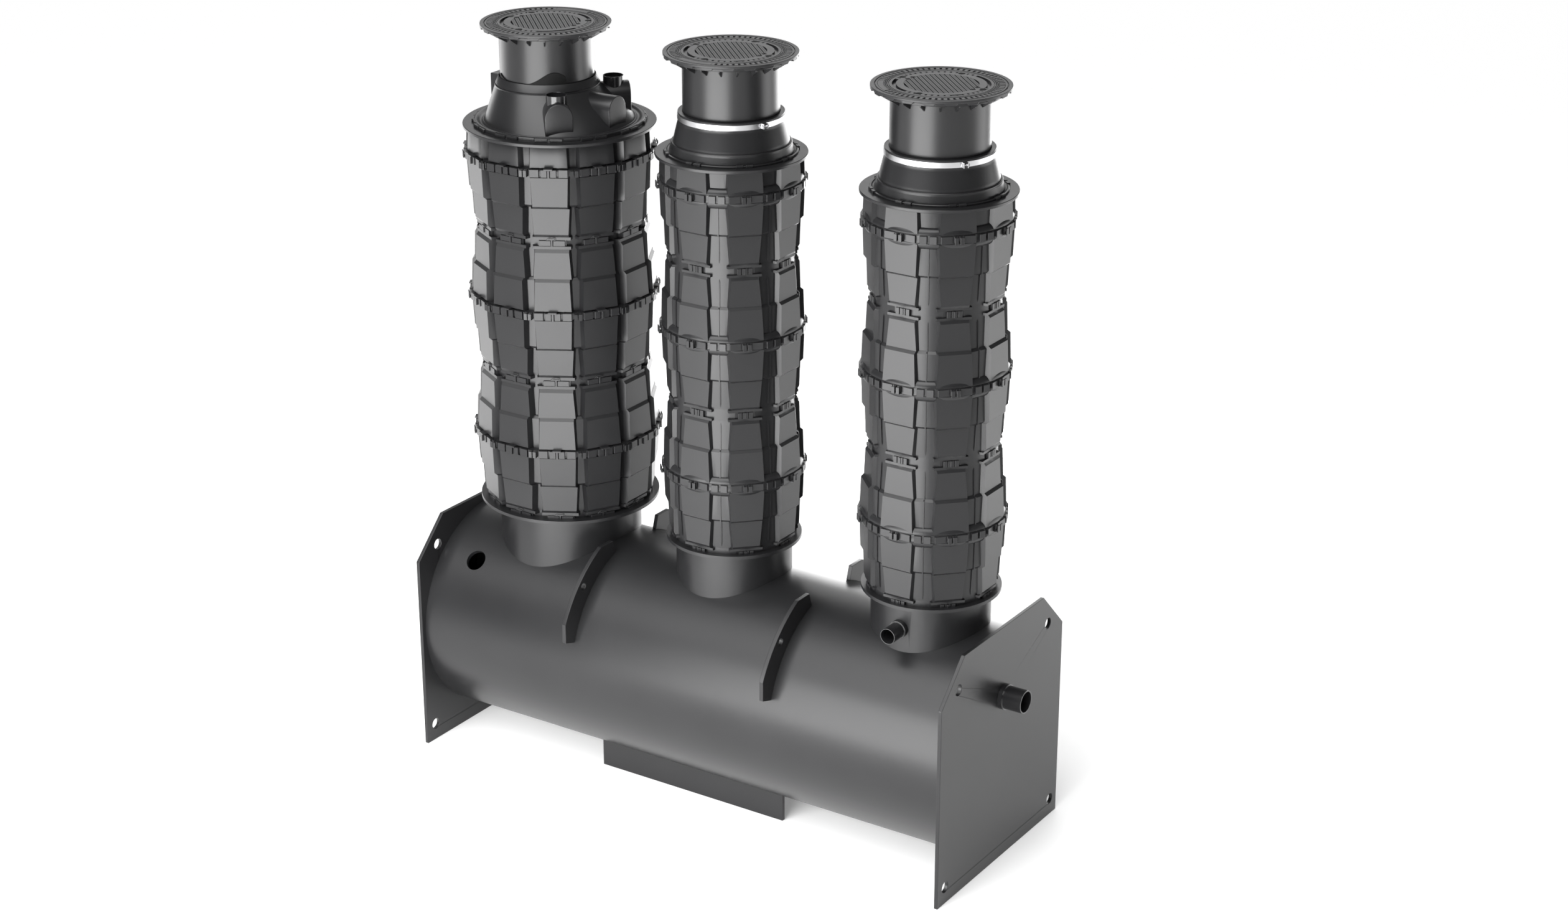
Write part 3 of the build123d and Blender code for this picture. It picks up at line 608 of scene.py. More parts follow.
class Workshop:
    """Makes the object's pieces and dresses them and the frame's nodes."""

    sharp_bevel = 28.0
    sector_smooth = 24.0
    node_sharp = 35.0
    node_smooth = 12.0
    node_weld = 0.00005

    def __init__(self) -> None:
        """Start with the two trees and no material made."""
        self.made: dict[Finish, bpy.types.Material] = {}
        self.sector_tree = SectorTree()
        self.grid_tree = GridTree()

    def material(self, finish: Finish) -> bpy.types.Material:
        """The material of a finish, made when first asked for."""
        if finish not in self.made:
            self.made[finish] = finish.build()
        return self.made[finish]

    def piece(self, name: str, mesh: bpy.types.Mesh, finish: Finish, body: Body,
              replaces: Sequence[str] = (), smooth: float = 0.0) -> None:
        """Put a finished mesh in the scene as a piece of the object.

        Args:
            name: the piece's name.
            mesh: its mesh, with its place in its points.
            finish: its finish.
            body: the body it rides on.
            replaces: the CAD nodes it stands for.
            smooth: degrees up to which its edges are shaded smooth, 0 to leave them.
        """
        if smooth:
            smooth_by_angle(mesh, smooth)
        mesh.name = name
        made = linked(name, mesh)
        mesh.materials.clear()
        mesh.materials.append(self.material(finish))
        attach(made, body.value)
        if replaces:
            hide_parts(*replaces)
        triangles = sum(len(face.vertices) - 2 for face in mesh.polygons)
        LOG.info("%s: %d triangles on %s", name, triangles, body.value)

    def repeated(self, name: str, sector: bpy.types.Mesh, repeat: Repeat, finish: Finish,
                 bevel: float = 0.0, segments: int = 1) -> bpy.types.Mesh:
        """Repeat a sector by the Geometry Nodes tree and return the result as one plain mesh.

        Args:
            name: the new mesh's name.
            sector: one sector, made about the Z axis at its own origin.
            repeat: the counts and places.
            finish: the finish that the tree sets.
            bevel: width of the rounded edges, 0 for none.
            segments: faces across a rounded edge.

        Returns:
            The plain mesh.
        """
        source = linked(f"{name}_sector", sector)
        if bevel:
            add_bevel(source, bevel, segments, self.sharp_bevel)
        result = self.sector_tree.run(source, name, {
            "Count": repeat.count, "Skip From": repeat.skip_from, "Skip Count": repeat.skip_count,
            "Levels": repeat.levels, "Phase": repeat.phase, "Foot": repeat.foot,
            "Pitch": repeat.pitch, "Flip": float(repeat.flip), "Axis X": repeat.axis_x,
            "Material": self.material(finish)})
        smooth_by_angle(result, self.sector_smooth)
        return result

    def array(self, name: str, sector: bpy.types.Mesh, repeat: Repeat, finish: Finish, body: Body,
              bevel: float = 0.0, segments: int = 1, replaces: Sequence[str] = ()) -> None:
        """Repeat a sector and put the result in the scene; the values are those of both calls."""
        mesh = self.repeated(name, sector, repeat, finish, bevel, segments)
        self.piece(name, mesh, finish, body, replaces)

    def rounded(self, name: str, mesh: bpy.types.Mesh, width: float,
                segments: int) -> bpy.types.Mesh:
        """A welded mesh with its edges rounded.

        Args:
            name: the new mesh's name.
            mesh: the mesh to round, which stays as it is.
            width: width of the rounding, in metres.
            segments: faces across it.

        Returns:
            The new mesh.
        """
        source = linked(f"{name}_source", mesh)
        source.modifiers.new("weld", "WELD").merge_threshold = self.node_weld
        add_bevel(source, width, segments, self.node_sharp)
        result = evaluated_mesh(source, name)
        smooth_by_angle(result, self.node_smooth)
        return result

    def round_node(self, node: bpy.types.Object, finish: Finish, width: float) -> None:
        """Show a CAD node of the separator by a copy with rounded edges, of a width in metres."""
        name = f"{node.name}_rounded"
        copy = node.data.copy()
        copy.transform(node.matrix_world)
        self.piece(name, self.rounded(name, copy, width, 2), finish, Body.SEPARATOR, [node.name])

    def dress(self, nodes: dict[str, bpy.types.Object]) -> None:
        """Give every CAD node its finish, and round plates, ribs, necks and pipes.

        Args:
            nodes: the frame's nodes by name.
        """
        for name, node in nodes.items():
            fitting = (kind for starts, kind in NODE_FINISHES if name.startswith(starts))
            finish = next(fitting, PLASTIC)
            node.data.materials.clear()
            node.data.materials.append(self.material(finish))
        for name, node in nodes.items():
            if name.startswith(("end_plate", "lifting_rib", "keel", "neck")):
                self.round_node(node, PLASTIC, 0.003)
            elif name in ("inlet_pipe", "outlet_pipe", "sampling_stub"):
                self.round_node(node, GLOSS_PIPE, 0.0015)


# Riser rings


@dataclass(frozen=True)
class Level:
    """One level of a ring's outside, in millimetres: height, flat face and round gap."""

    z: float
    face: float
    half_width: float
    half_foot: float
    gap: float


@dataclass(frozen=True)
class RingShape:
    """A moulded riser ring: its panels, its levels from the wide end up, and its bore."""

    panels: int
    levels: tuple[Level, ...]
    bore: tuple[float, float]
    across: int
    flange: Profile
    clip_face: float
    rib: float
    gap_steps: int = 3
    foot_share: float = 0.97

    def column(self, level: Level) -> list[tuple[float, float]]:
        """Points of the outside across one sector, from one gap's middle to the next.

        Args:
            level: the level.

        Returns:
            (x, y) points, in millimetres.
        """
        half_sector = math.pi / self.panels
        widest = math.sin(half_sector * self.foot_share)
        foot_angle = math.asin(min(level.half_foot / level.gap, widest))
        gap = [half_sector + (foot_angle - half_sector) * step / self.gap_steps
               for step in range(self.gap_steps + 1)]
        right = [(level.gap * math.cos(angle), level.gap * math.sin(angle)) for angle in gap]
        face = [(level.face, level.half_width * (1 - 2 * step / (self.across - 1)))
                for step in range(self.across)]
        left = [(x, -y) for x, y in reversed(right)]
        return right + face + left

    def sector(self, top: float | None = None) -> bpy.types.Mesh:
        """One sector of the ring, closed but for its two cut sides.

        Args:
            top: height where the ring is sawn off, or None for the whole ring.

        Returns:
            The mesh.
        """
        levels = self.levels if top is None else self.sawn(top)
        columns = [[(x, y, level.z) for x, y in self.column(level)] for level in levels]
        for column in (columns[-1], columns[0]):
            share = column[0][2] / self.levels[-1].z
            radius = self.bore[0] + (self.bore[1] - self.bore[0]) * share
            columns.append([
                (x * radius / math.hypot(x, y), y * radius / math.hypot(x, y), z)
                for x, y, z in column])
        size = len(columns[0])
        faces = []
        for row in range(len(columns)):
            here, there = row * size, (row + 1) % len(columns) * size
            faces += [(here + step, here + step + 1, there + step + 1, there + step)
                      for step in range(size - 1)]
        return mesh_from("ring_sector", [point for column in columns for point in column], faces)

    def sawn(self, top: float) -> tuple[Level, ...]:
        """The levels below a saw cut, with one at the cut."""
        below = [level for level in self.levels if level.z < top]
        above = self.levels[len(below)]
        share = (top - below[-1].z) / (above.z - below[-1].z)
        pairs = zip(vars(below[-1]).values(), vars(above).values())
        return (*below, Level(*(low + (high - low) * share for low, high in pairs)))


LARGE_RING = RingShape(
    panels=12,
    levels=(
        Level(0, 612, 127, 134, 592),
        Level(35, 612, 127, 134, 592),
        Level(35, 628, 126, 134, 592),
        Level(236, 619, 117, 128, 588),
        Level(254, 600, 118, 130, 572),
        Level(254, 599, 128.5, 138, 562),
        Level(436, 593, 115.5, 126, 555),
        Level(457, 578, 116, 128, 553),
        Level(457, 577, 128, 135, 553),
        Level(478, 577, 128, 135, 553),
        Level(478, 563, 96, 97, 553),
        Level(500, 563, 96, 97, 553),
    ),
    bore=(548, 500),
    across=5,
    flange=((626, 25), (632, 22), (635, 15)),
    clip_face=646,
    rib=0,
)
SMALL_RING = RingShape(
    panels=8,
    levels=(
        Level(0, 454, 118, 125, 448),
        Level(34, 454, 118, 125, 448),
        Level(34, 465, 118, 126, 448),
        Level(244, 460, 107, 112, 445),
        Level(260, 442, 108, 113, 430),
        Level(260, 440, 109, 116, 428),
        Level(442, 437, 92, 101, 418),
        Level(460, 425, 94, 103, 417),
        Level(460, 425, 113, 116, 417),
        Level(477, 425, 113, 116, 417),
        Level(477, 411, 66, 67, 417),
        Level(500, 411, 66, 67, 417),
    ),
    bore=(438, 400),
    across=7,
    flange=((450, 68), (458, 62), (465, 55), (470.5, 46), (474.5, 35), (475, 29), (472, 27),
            (475, 24), (475, 16)),
    clip_face=480,
    rib=7,
)


def hook(face: float, across: tuple[float, float], reach: float) -> list[bpy.types.Mesh]:
    """An open-topped hook that stands out from the band.

    Args:
        face: distance of the band's face from the axis.
        across: the hook's two sides.
        reach: how far it stands out.

    Returns:
        Its back, its tongue and its sole.
    """
    return blocks(face, ((-40, 6, *across, -24, 24), (reach - 7, reach, *across, -24, 21),
                         (0, reach - 2, *across, -24, -15)))


@dataclass
class Riser:
    """One riser: its stacked rings, their flanges and the clips that lock them.

    Lengths are in millimetres, but for the widths of rounded edges, which are in metres. The line
    of the gap ribs gives heights and radii.
    """

    side: Side
    shape: RingShape
    pitch: float = 500.0
    full_rings: int = 5
    cut_height: float = 178.0
    ring_edge: float = 0.0028
    clip_edge: float = 0.0012
    narrow_face_large: float = 577.0
    narrow_face_small: float = 431.0
    rib_line: Profile = ((30, 448), (251, 444), (258, 429), (425, 418), (455, 416))

    def __post_init__(self) -> None:
        """Read the axis and the foot of the riser from its first ring."""
        low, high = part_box(self.node(1))
        self.axis_x = (low.x + high.x) / 2
        self.foot = low.z
        self.half_sector = 180 / self.shape.panels

    def node(self, number: int) -> str:
        """Name of a ring's CAD node."""
        return f"riser_ring_{self.side.value}_{number}"

    def joint(self, number: int) -> float:
        """Height of a joint between rings, in metres, counted from the riser's foot."""
        return self.foot + number * self.pitch * MM

    def stack(self) -> Repeat:
        """The places of what every full ring has, every second one upside down."""
        return Repeat(self.shape.panels, self.axis_x, self.full_rings, self.foot, self.pitch * MM,
                      flip=True)

    def build(self, shop: Workshop) -> None:
        """Make every piece of the riser."""
        self.build_rings(shop)
        self.build_flanges(shop)
        self.build_clips(shop)
        if self.shape.rib:
            self.build_gap_ribs(shop)

    def build_rings(self, shop: Workshop) -> None:
        """The five full rings and the cut ring on top."""
        top = Repeat(self.shape.panels, self.axis_x, foot=self.joint(self.full_rings))
        numbers = range(1, self.full_rings + 1)
        for name, sector, places, nodes in (
            ("riser_rings", self.shape.sector(), self.stack(), [self.node(n) for n in numbers]),
            ("cut_ring", self.shape.sector(self.cut_height), top, [self.node(len(numbers) + 1)]),
        ):
            shop.array(f"{name}_{self.side.value}", sector, places, PLASTIC, Body.SEPARATOR,
                       self.ring_edge, 2, nodes)

    def build_flanges(self, shop: Workshop) -> None:
        """The round flange at each wide joint."""
        flange = self.shape.flange
        half = [(self.shape.bore[0] + 6, flange[0][1]), *flange, (flange[-1][0] - 1.5, 0.8)]
        profile = half + [(radius, -z) for radius, z in reversed(half)]
        name = f"flange_rings_{self.side.value}"
        rings = [shifted(lathe(name, profile, 192), self.axis_x, self.joint(number))
                 for number in (1, 3, 5)]
        shop.piece(name, joined(name, rings), PLASTIC, Body.SEPARATOR, smooth=40)

    def build_clips(self, shop: Workshop) -> None:
        """The clips at the wide joints and at the narrow ones."""
        if self.side is Side.LARGE:
            wide, narrow = self.wide_clips_large(), self.narrow_clips_large()
        else:
            wide, narrow = self.wide_clips_small(), self.narrow_clips_small()
        for name, clips, first in (("wide_clips", wide, 1), ("narrow_clips", narrow, 0)):
            places = Repeat(
                self.shape.panels, self.axis_x, 3, self.joint(first), 2 * self.pitch * MM)
            shop.array(f"{name}_{self.side.value}", joined("clip_sector", clips), places, PLASTIC,
                       Body.SEPARATOR, self.clip_edge)

    def wide_clips_large(self) -> list[bpy.types.Mesh]:
        """Clips of one sector at a wide joint of the large riser."""
        face = self.shape.clip_face
        hooks = [part for across in ((-27, -3), (3, 27)) for part in hook(face + 1, across, 22)]
        stops = blocks(face, ((-60, -5, -46, -34, -23, 23), (-60, -5, 32, 44, -23, 23)))
        return [
            *blocks(face, (
                (-45, 4, -52, -11, -25, 25),
                (-45, 4, 11, 52, -25, 25),
                (-45, 15, -6, 8, -27, 25),
                (-45, 18, -31, 29, 25, 35),
                (-45, 0, -128, -66, -26, 26),
                (-45, 0, 67, 128, -26, 26),
            )),
            *(turned(part, self.half_sector) for part in hooks + stops),
        ]

    def wide_clips_small(self) -> list[bpy.types.Mesh]:
        """Clips of one sector at a wide joint of a small riser."""
        face = self.shape.clip_face
        stops = blocks(face, ((-34, 12, -54, -8, -25, 24), (-34, 12, 8, 54, -25, 24)))
        return [
            *hook(face, (-29, -5), 26),
            *hook(face, (5, 29), 26),
            *blocks(face, ((-26, 0, -110, -36, -24, 23), (-26, 0, 36, 110, -24, 23))),
            *(turned(part, self.half_sector) for part in stops),
        ]

    def narrow_clips_large(self) -> list[bpy.types.Mesh]:
        """Clips of one sector at a narrow joint of the large riser, with their arched cap."""
        face = self.narrow_face_large
        cap = ((-42, 20), (-33, 30), (-18, 40), (0, 44), (18, 42), (28, 38), (28, 20))
        return [
            *blocks(face, (
                (-30, 3, -88, -9, -19, 17),
                (-30, 3, 9, 88, -19, 17),
                (-30, 10, -6, 6, -19, 30),
                (-30, 11, -20, 22, 24, 34),
            )),
            prism(cap, (face - 25, face + 5)),
        ]

    def narrow_clips_small(self) -> list[bpy.types.Mesh]:
        """Clips of one sector at a narrow joint of a small riser."""
        return blocks(self.narrow_face_small, (
            (-24, 0, -50, -24, -21, 21),
            (-24, 0, -19, 19, -21, 21),
            (-24, 4, -6, 6, -21, 21),
            (-24, 0, 24, 50, -21, 21),
        ))

    def build_gap_ribs(self, shop: Workshop) -> None:
        """The thin upright rib in the middle of each gap of a small ring, which runs out on top."""
        sections = []
        for number, (z, radius) in enumerate(self.rib_line, 1):
            grow, half = self.shape.rib, self.shape.rib / 2
            if number == len(self.rib_line):
                grow, half = -2, 0.5
            back, front = radius - 10, radius + grow
            sections.append([(back, -half, z), (front, -half, z), (front, half, z), (back, half, z)])
        rib = turned(strip("gap_rib", sections), self.half_sector)
        name = f"gap_ribs_{self.side.value}"
        shop.array(name, rib, self.stack(), PLASTIC, Body.SEPARATOR)


# Covers


@dataclass(frozen=True)
class CoverMarks:
    """Where the marks of one cover are, in degrees about its axis."""

    plain_rim: tuple[float, float]
    plugs: tuple[float, ...]
    keys: tuple[float, ...]
    stud_runs: tuple[tuple[int, int], ...]
    slot: float
    gusset: float


COVER_MARKS = {
    Side.LARGE: CoverMarks((79.0, 116.0), (37.0, 147.0, 184.0, 269.5), (177.5, 7.7),
                           ((11, 14), (32, 8), (47, 8)), 310.0, 0.0),
    Side.MIDDLE: CoverMarks((245.0, 285.0), (2.0, 91.0, 177.0, 268.0), (176.5, 2.2),
                            ((10, 16), (34, 16)), 314.5, 4.8),
    Side.RIGHT: CoverMarks((200.0, 238.0), (3.0, 94.0, 178.0, 271.0), (176.5, 2.2),
                           ((10, 16), (34, 16)), 317.5, 11.0),
}


@dataclass
class Cover:
    """A sliding upper section: the tube, the cast frame with its ribs and the lid with its bars.

    Profiles and blocks are in millimetres, their heights counted from the cover's top. The grid of
    the bars is in metres.
    """

    side: Side
    rib_count: int = 64
    stud_count: int = 48
    tab_count: int = 20
    tube: tuple[float, float] = (319.4, 307.4)
    gusset_half: float = 5.0
    tab_offset: float = 9.0
    plug_radius: float = 285.0
    key_radius: float = 237.0
    key_spread: float = 7.0
    slot_half: float = 7.0
    bar_pitch: tuple[float, float] = (0.015, 0.030)
    bar_reach: float = 0.240
    bar_turn: float = -45.0

    def __post_init__(self) -> None:
        """Read the axis and the top of the cover from its frame ring."""
        low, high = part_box(f"cover_frame_{self.side.value}")
        self.axis_x = (low.x + high.x) / 2
        self.top = high.z
        self.marks = COVER_MARKS[self.side]
        self.body = UPPER_BODY[self.side]

    def build(self, shop: Workshop) -> None:
        """Make the tube, the frame and the lid."""
        self.build_tube(shop)
        self.build_frame(shop)
        self.build_frame_ribs(shop)
        self.build_tabs(shop)
        self.build_lid(shop)
        self.build_studs(shop)
        self.build_bars(shop)
        self.build_plugs(shop)

    def seat(self, shop: Workshop, name: str, mesh: bpy.types.Mesh, finish: Finish,
             replaces: Sequence[str] = (), smooth: float = 24.0) -> None:
        """Put a mesh made at the origin on the cover's place."""
        mesh = shifted(mesh, self.axis_x, self.top)
        shop.piece(f"{name}_{self.side.value}", mesh, finish, self.body, replaces, smooth)

    def around(self, count: int, degrees: float = 0.0, skip_from: int = 0,
               skip_count: int = 0) -> Repeat:
        """Places round the cover, at its top's height."""
        return Repeat(count, self.axis_x, foot=self.top, phase=math.radians(degrees),
                      skip_from=skip_from, skip_count=skip_count)

    def build_tube(self, shop: Workshop) -> None:
        """The telescopic tube with its head plate and the gussets under it."""
        node = f"telescopic_tube_{self.side.value}"
        foot = (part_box(node)[0].z - self.top) / MM
        outer, inner = self.tube
        profile = (
            (inner + 2, foot), (outer - 3, foot), (outer, foot + 4), (outer, -49), (outer + 1, -46),
            (outer + 4, -45), (398, -45), (400, -43), (400, -30), (inner, -30), (inner, foot + 2),
        )
        self.seat(shop, "sliding_tube", lathe("tube", profile, 192), PLASTIC, [node], 30)
        outline = ((outer - 4, -44), (390, -44), (390, -55), (outer - 4, -101))
        gusset = turned(prism(outline, (-self.gusset_half, self.gusset_half)), -90)
        places = self.around(self.tab_count, self.marks.gusset - 90.0)
        shop.array(f"head_gussets_{self.side.value}", gusset, places, PLASTIC, self.body, 0.0015)

    def build_frame(self, shop: Workshop) -> None:
        """The frame ring, with the lowered track that holds the ribs."""
        profile = (
            (351.5, -30), (400, -30), (441.5, -16.5), (443.2, -14), (443.2, -3), (442.2, -0.8),
            (440, -0.2), (419, -0.2), (416.5, -1.4), (414.5, -8), (411, -8), (409.5, -1.4),
            (407, -0.4), (398, -0.4), (396.4, -1.6), (395.6, -17), (358.4, -17), (357.6, -1.6),
            (356.4, -0.4), (352.4, -0.4), (351.5, -1.4),
        )
        self.seat(shop, "frame_ring", lathe("frame", profile, 192), COVER_IRON,
                  [f"cover_frame_{self.side.value}"])

    def build_frame_ribs(self, shop: Workshop) -> None:
        """The radial ribs of the frame, left out along the plain part of the rim."""
        start, end = self.marks.plain_rim
        first = math.ceil(start * self.rib_count / 360)
        last = math.floor(end * self.rib_count / 360)
        name = f"frame_ribs_{self.side.value}"
        rib = blocks(0, [(359, 396, -11.5, 11.5, -18, -0.6)])[0]
        ribs = self.around(self.rib_count, skip_from=first, skip_count=last - first + 1)
        mesh = shop.repeated(name, rib, ribs, COVER_IRON, bevel=0.0012)
        plain = shifted(arc_block((360, 395), (start, end), (-18, -0.9)), self.axis_x, self.top)
        shop.piece(name, joined(name, [mesh, plain]), COVER_IRON, self.body, smooth=24)

    def build_tabs(self, shop: Workshop) -> None:
        """The tabs that hang under the frame's rim between the gussets."""
        tab = prism(((-44, -14), (-29, -31), (29, -31), (44, -14)), (402, 440.5))
        places = self.around(self.tab_count, self.marks.gusset + self.tab_offset - 90.0)
        shop.array(f"frame_tabs_{self.side.value}", tab, places, COVER_IRON, self.body, 0.002)

    def build_lid(self, shop: Workshop) -> None:
        """The lid's body: a rim, a track for the studs and a lowered middle."""
        profile = (
            (0, -30), (349.3, -30), (349.3, -4), (346.5, -0.4), (342.5, -0.4), (341.4, -12),
            (337.6, -12), (336.6, -0.4), (331, -0.4), (330, -6), (326.5, -6), (325.5, -0.6),
            (308, -0.6), (306.5, -17), (283.5, -17), (282, -0.4), (234.5, -0.4), (232.5, -17),
            (0, -17),
        )
        self.seat(shop, "lid_plate", lathe("lid", profile, 160), COVER_IRON,
                  [f"lid_{self.side.value}"])

    def build_studs(self, shop: Workshop) -> None:
        """The studs in the lid's track, in runs with open pockets between them."""
        name = f"lid_studs_{self.side.value}"
        parts = []
        for first, number in self.marks.stud_runs:
            run = self.around(self.stud_count, skip_from=(first + number) % self.stud_count,
                              skip_count=self.stud_count - number)
            stud = blocks(0, [(284, 306, -13.5, 13.5, -17.5, -0.7)])[0]
            parts.append(shop.repeated(name, stud, run, COVER_IRON, bevel=0.001))
        shop.piece(name, joined(name, parts), COVER_IRON, self.body, smooth=24)

    def build_bars(self, shop: Workshop) -> None:
        """The crossed bars in the middle of the lid."""
        pair = blocks(0, (
            (-6.4, 6.4, -11.8, -0.8, -17.5, -0.8),
            (-6.4, 6.4, 0.8, 11.8, -17.5, -0.8),
        ))
        along, across = self.bar_pitch
        mesh = shop.grid_tree.run(linked("lid_bars_tile", joined("tile", pair)), "lid_bars", {
            "Along": along, "Across": across, "Radius": self.bar_reach,
            "Turn": math.radians(self.bar_turn), "Material": shop.material(COVER_IRON)})
        self.seat(shop, "lid_bars", mesh, COVER_IRON, smooth=0)

    def build_plugs(self, shop: Workshop) -> None:
        """The dark plugs: round ones in the track, square ones by the bars and a key slot."""
        parts = []
        for angle in self.marks.plugs:
            disc = ((0, -4), (21.5, -4), (22.5, -0.3), (21, -0.15), (0, -0.15))
            plug = shifted(lathe("plug", disc, 32), self.plug_radius * MM)
            parts.append(turned(plug, angle))
        for angle in self.marks.keys:
            for spread in (-self.key_spread, self.key_spread):
                plug = turned(blocks(0, [(-14, 14, -14, 14, -4, -0.15)])[0], 45)
                parts.append(turned(shifted(plug, self.key_radius * MM), angle + spread))
        slot = (self.marks.slot - self.slot_half, self.marks.slot + self.slot_half)
        parts.append(arc_block((284, 300), slot, (-4, -0.5)))
        self.seat(shop, "lid_plugs", joined("lid_plugs", parts), SEAL_RUBBER)


# Cones


@dataclass
class SmallCone:
    """The reducing cone of a small riser, with its clip ring.

    Profiles and blocks are in millimetres over its foot, the width of rounded edges in metres.
    """

    side: Side
    clip_count: int = 8
    clip_edge: float = 0.0015

    def build(self, shop: Workshop) -> None:
        """Make the cone and the clip ring on its top plate."""
        node = f"cone_{self.side.value}"
        low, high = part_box(node)
        axis_x, foot = (low.x + high.x) / 2, low.z
        profile = (
            (385, 0), (503, 0), (505, 2), (505, 17), (502, 20), (412, 20), (410, 34), (397.5, 74),
            (397, 79), (398.5, 84), (397.5, 89), (394, 92.5), (389, 93), (384.5, 91), (383, 94),
            (382, 104), (379, 116), (354, 218), (351.2, 229), (351, 240), (351, 288), (350, 291),
            (347, 292), (322, 292), (319.9, 290), (319.9, 182),
        )
        name = f"reducing_cone_{self.side.value}"
        cone = shifted(lathe(name, profile), axis_x, foot)
        shop.piece(name, cone, PLASTIC, Body.SEPARATOR, [node], 30)
        band = ((412, 18), (438, 18), (439.5, 30), (437.5, 32.5), (428, 33.5), (424, 30),
                (420, 27), (412, 26))
        clips = joined("clips", blocks(0, ((424, 445, -56, -9, 18, 39), (424, 445, 9, 56, 18, 39))))
        name = f"cone_clips_{self.side.value}"
        places = Repeat(self.clip_count, axis_x, foot=foot)
        mesh = shop.repeated(name, clips, places, PLASTIC, self.clip_edge)
        mesh = joined(name, [mesh, shifted(lathe("clip_ring", band), axis_x, foot)])
        shop.piece(name, mesh, PLASTIC, Body.SEPARATOR, smooth=30)


@dataclass
class LargeCone:
    """The eccentric cone of the large riser: top plate, slope, four hoods and two vent stubs.

    Lengths are in millimetres, those of the hoods and stubs counted from the top plate and from
    the tube's axis. The widths of rounded edges are in metres.
    """

    hood_half: float = 94.0
    hood_top: float = 232.0
    hood_reach: float = 490.0
    hood_edge: float = 0.007
    box_half: float = 115.0
    box_top: float = 281.0
    box_reach: float = 402.0
    shift: float = 96.0
    vent_axis: float = 450.0
    plate_thickness: float = 20.0
    clip_count: int = 12
    clip_edge: float = 0.0015

    def __post_init__(self) -> None:
        """Read the axes and the heights from the frame."""
        low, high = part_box("cone_large")
        self.axis_x, self.foot = (low.x + high.x) / 2, low.z
        self.plate = self.foot + self.plate_thickness * MM
        low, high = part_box("telescopic_tube_large")
        self.tube_x = (low.x + high.x) / 2

    def build(self, shop: Workshop) -> None:
        """Make the cone's pieces."""
        mesh = joined("eccentric_cone", [self.top_plate(), self.slope()])
        shop.piece("eccentric_cone", mesh, PLASTIC, Body.SEPARATOR, ["cone_large"], 32)
        self.build_hoods(shop)
        self.build_vents(shop)
        self.build_clips(shop)

    def top_plate(self) -> bpy.types.Mesh:
        """The round plate with its rim, groove and inner lip."""
        profile = (
            (479, 0), (657, 0), (659, 2), (659, 17), (656, 20), (588, 20), (583.5, 23), (582, 30),
            (582, 40), (579, 46), (573, 49), (566, 49), (557, 46), (548, 38), (538, 32), (531, 31),
            (527, 33), (524, 38), (519, 41), (514, 40), (509, 34), (479, 30),
        )
        return shifted(lathe("top_plate", profile, 192), self.axis_x, self.foot)

    def slope(self) -> bpy.types.Mesh:
        """The leaning cone with the lip and the short collar over it, and its bore."""
        axis, tube, plate = self.axis_x / MM, self.tube_x / MM, self.plate / MM
        foot = ((520, 6), (512, 16), (508.5, 24))
        collar = (
            (357, 243), (358, 246), (357, 249), (354, 251), (350, 249.5), (349.5, 253), (352, 257),
            (331, 305), (329, 307), (327.5, 306), (326.6, 292), (326.6, 274), (319.9, 272),
            (319.9, 216),
        )
        rings = [
            *((axis, radius, plate + z) for radius, z in foot),
            (tube + 4, 360.5, plate + 236),
            *((tube, radius, plate + z) for radius, z in collar),
            (axis, 480, plate + 6),
        ]
        return ring_loft("slope", rings)

    def hood(self, degrees: float, arched: bool) -> bpy.types.Mesh:
        """One hood, from inside the cone out to its flat face.

        Args:
            degrees: its direction about the tube's axis.
            arched: whether its top is an arch or flat.

        Returns:
            The mesh.
        """
        rise = self.plate / MM
        if arched:
            half = self.hood_half
            reach = self.hood_reach + self.shift * math.cos(math.radians(degrees))
            spring = rise + self.hood_top - half
            angles = [math.radians(a) for a in range(0, 181, 9)]
            top = [(half * math.cos(a), spring + half * math.sin(a)) for a in angles]
        else:
            half, reach, high = self.box_half, self.box_reach, rise + self.box_top
            top = [(half, high), (-half, high)]
        outline = [(-half, rise + 4), (half, rise + 4), *top]
        return shifted(turned(prism(outline, (322, reach)), degrees), self.tube_x)

    def build_hoods(self, shop: Workshop) -> None:
        """The three arched hoods and the square one, with rounded edges."""
        parts = [self.hood(angle, True) for angle in (-45, 0, 45)] + [self.hood(180, False)]
        mesh = shop.rounded("cone_hoods", joined("cone_hoods", parts), self.hood_edge, 4)
        shop.piece("cone_hoods", mesh, PLASTIC, Body.SEPARATOR)

    def build_vents(self, shop: Workshop) -> None:
        """The two vent stubs on the slanting hoods."""
        low, high = 138, 274
        profile = ((70, low), (70, high - 1.5), (68.5, high), (65.5, high), (64, high - 1.5),
                   (64, 184), (2, 182), (2, low))
        parts = []
        for angle in (-45, 45):
            stub = shifted(lathe("vent", profile, 72), self.vent_axis * MM, self.plate)
            parts.append(shifted(turned(stub, angle), self.tube_x))
        mesh = joined("vent_stubs", parts)
        shop.piece("vent_stubs", mesh, GLOSS_PIPE, Body.SEPARATOR, smooth=30)

    def build_clips(self, shop: Workshop) -> None:
        """The clips along the top plate's rim, with raised arcs between the pairs."""
        clips = [
            *blocks(0, ((555, 590, -92, -9, 16, 42), (555, 590, 9, 92, 16, 42))),
            arc_block((560, 586), (9.6, 20.4), (18, 47)),
        ]
        places = Repeat(self.clip_count, self.axis_x, foot=self.foot)
        shop.array("cone_clips_large", joined("clips", clips), places, PLASTIC, Body.SEPARATOR,
                   self.clip_edge)


# Stage


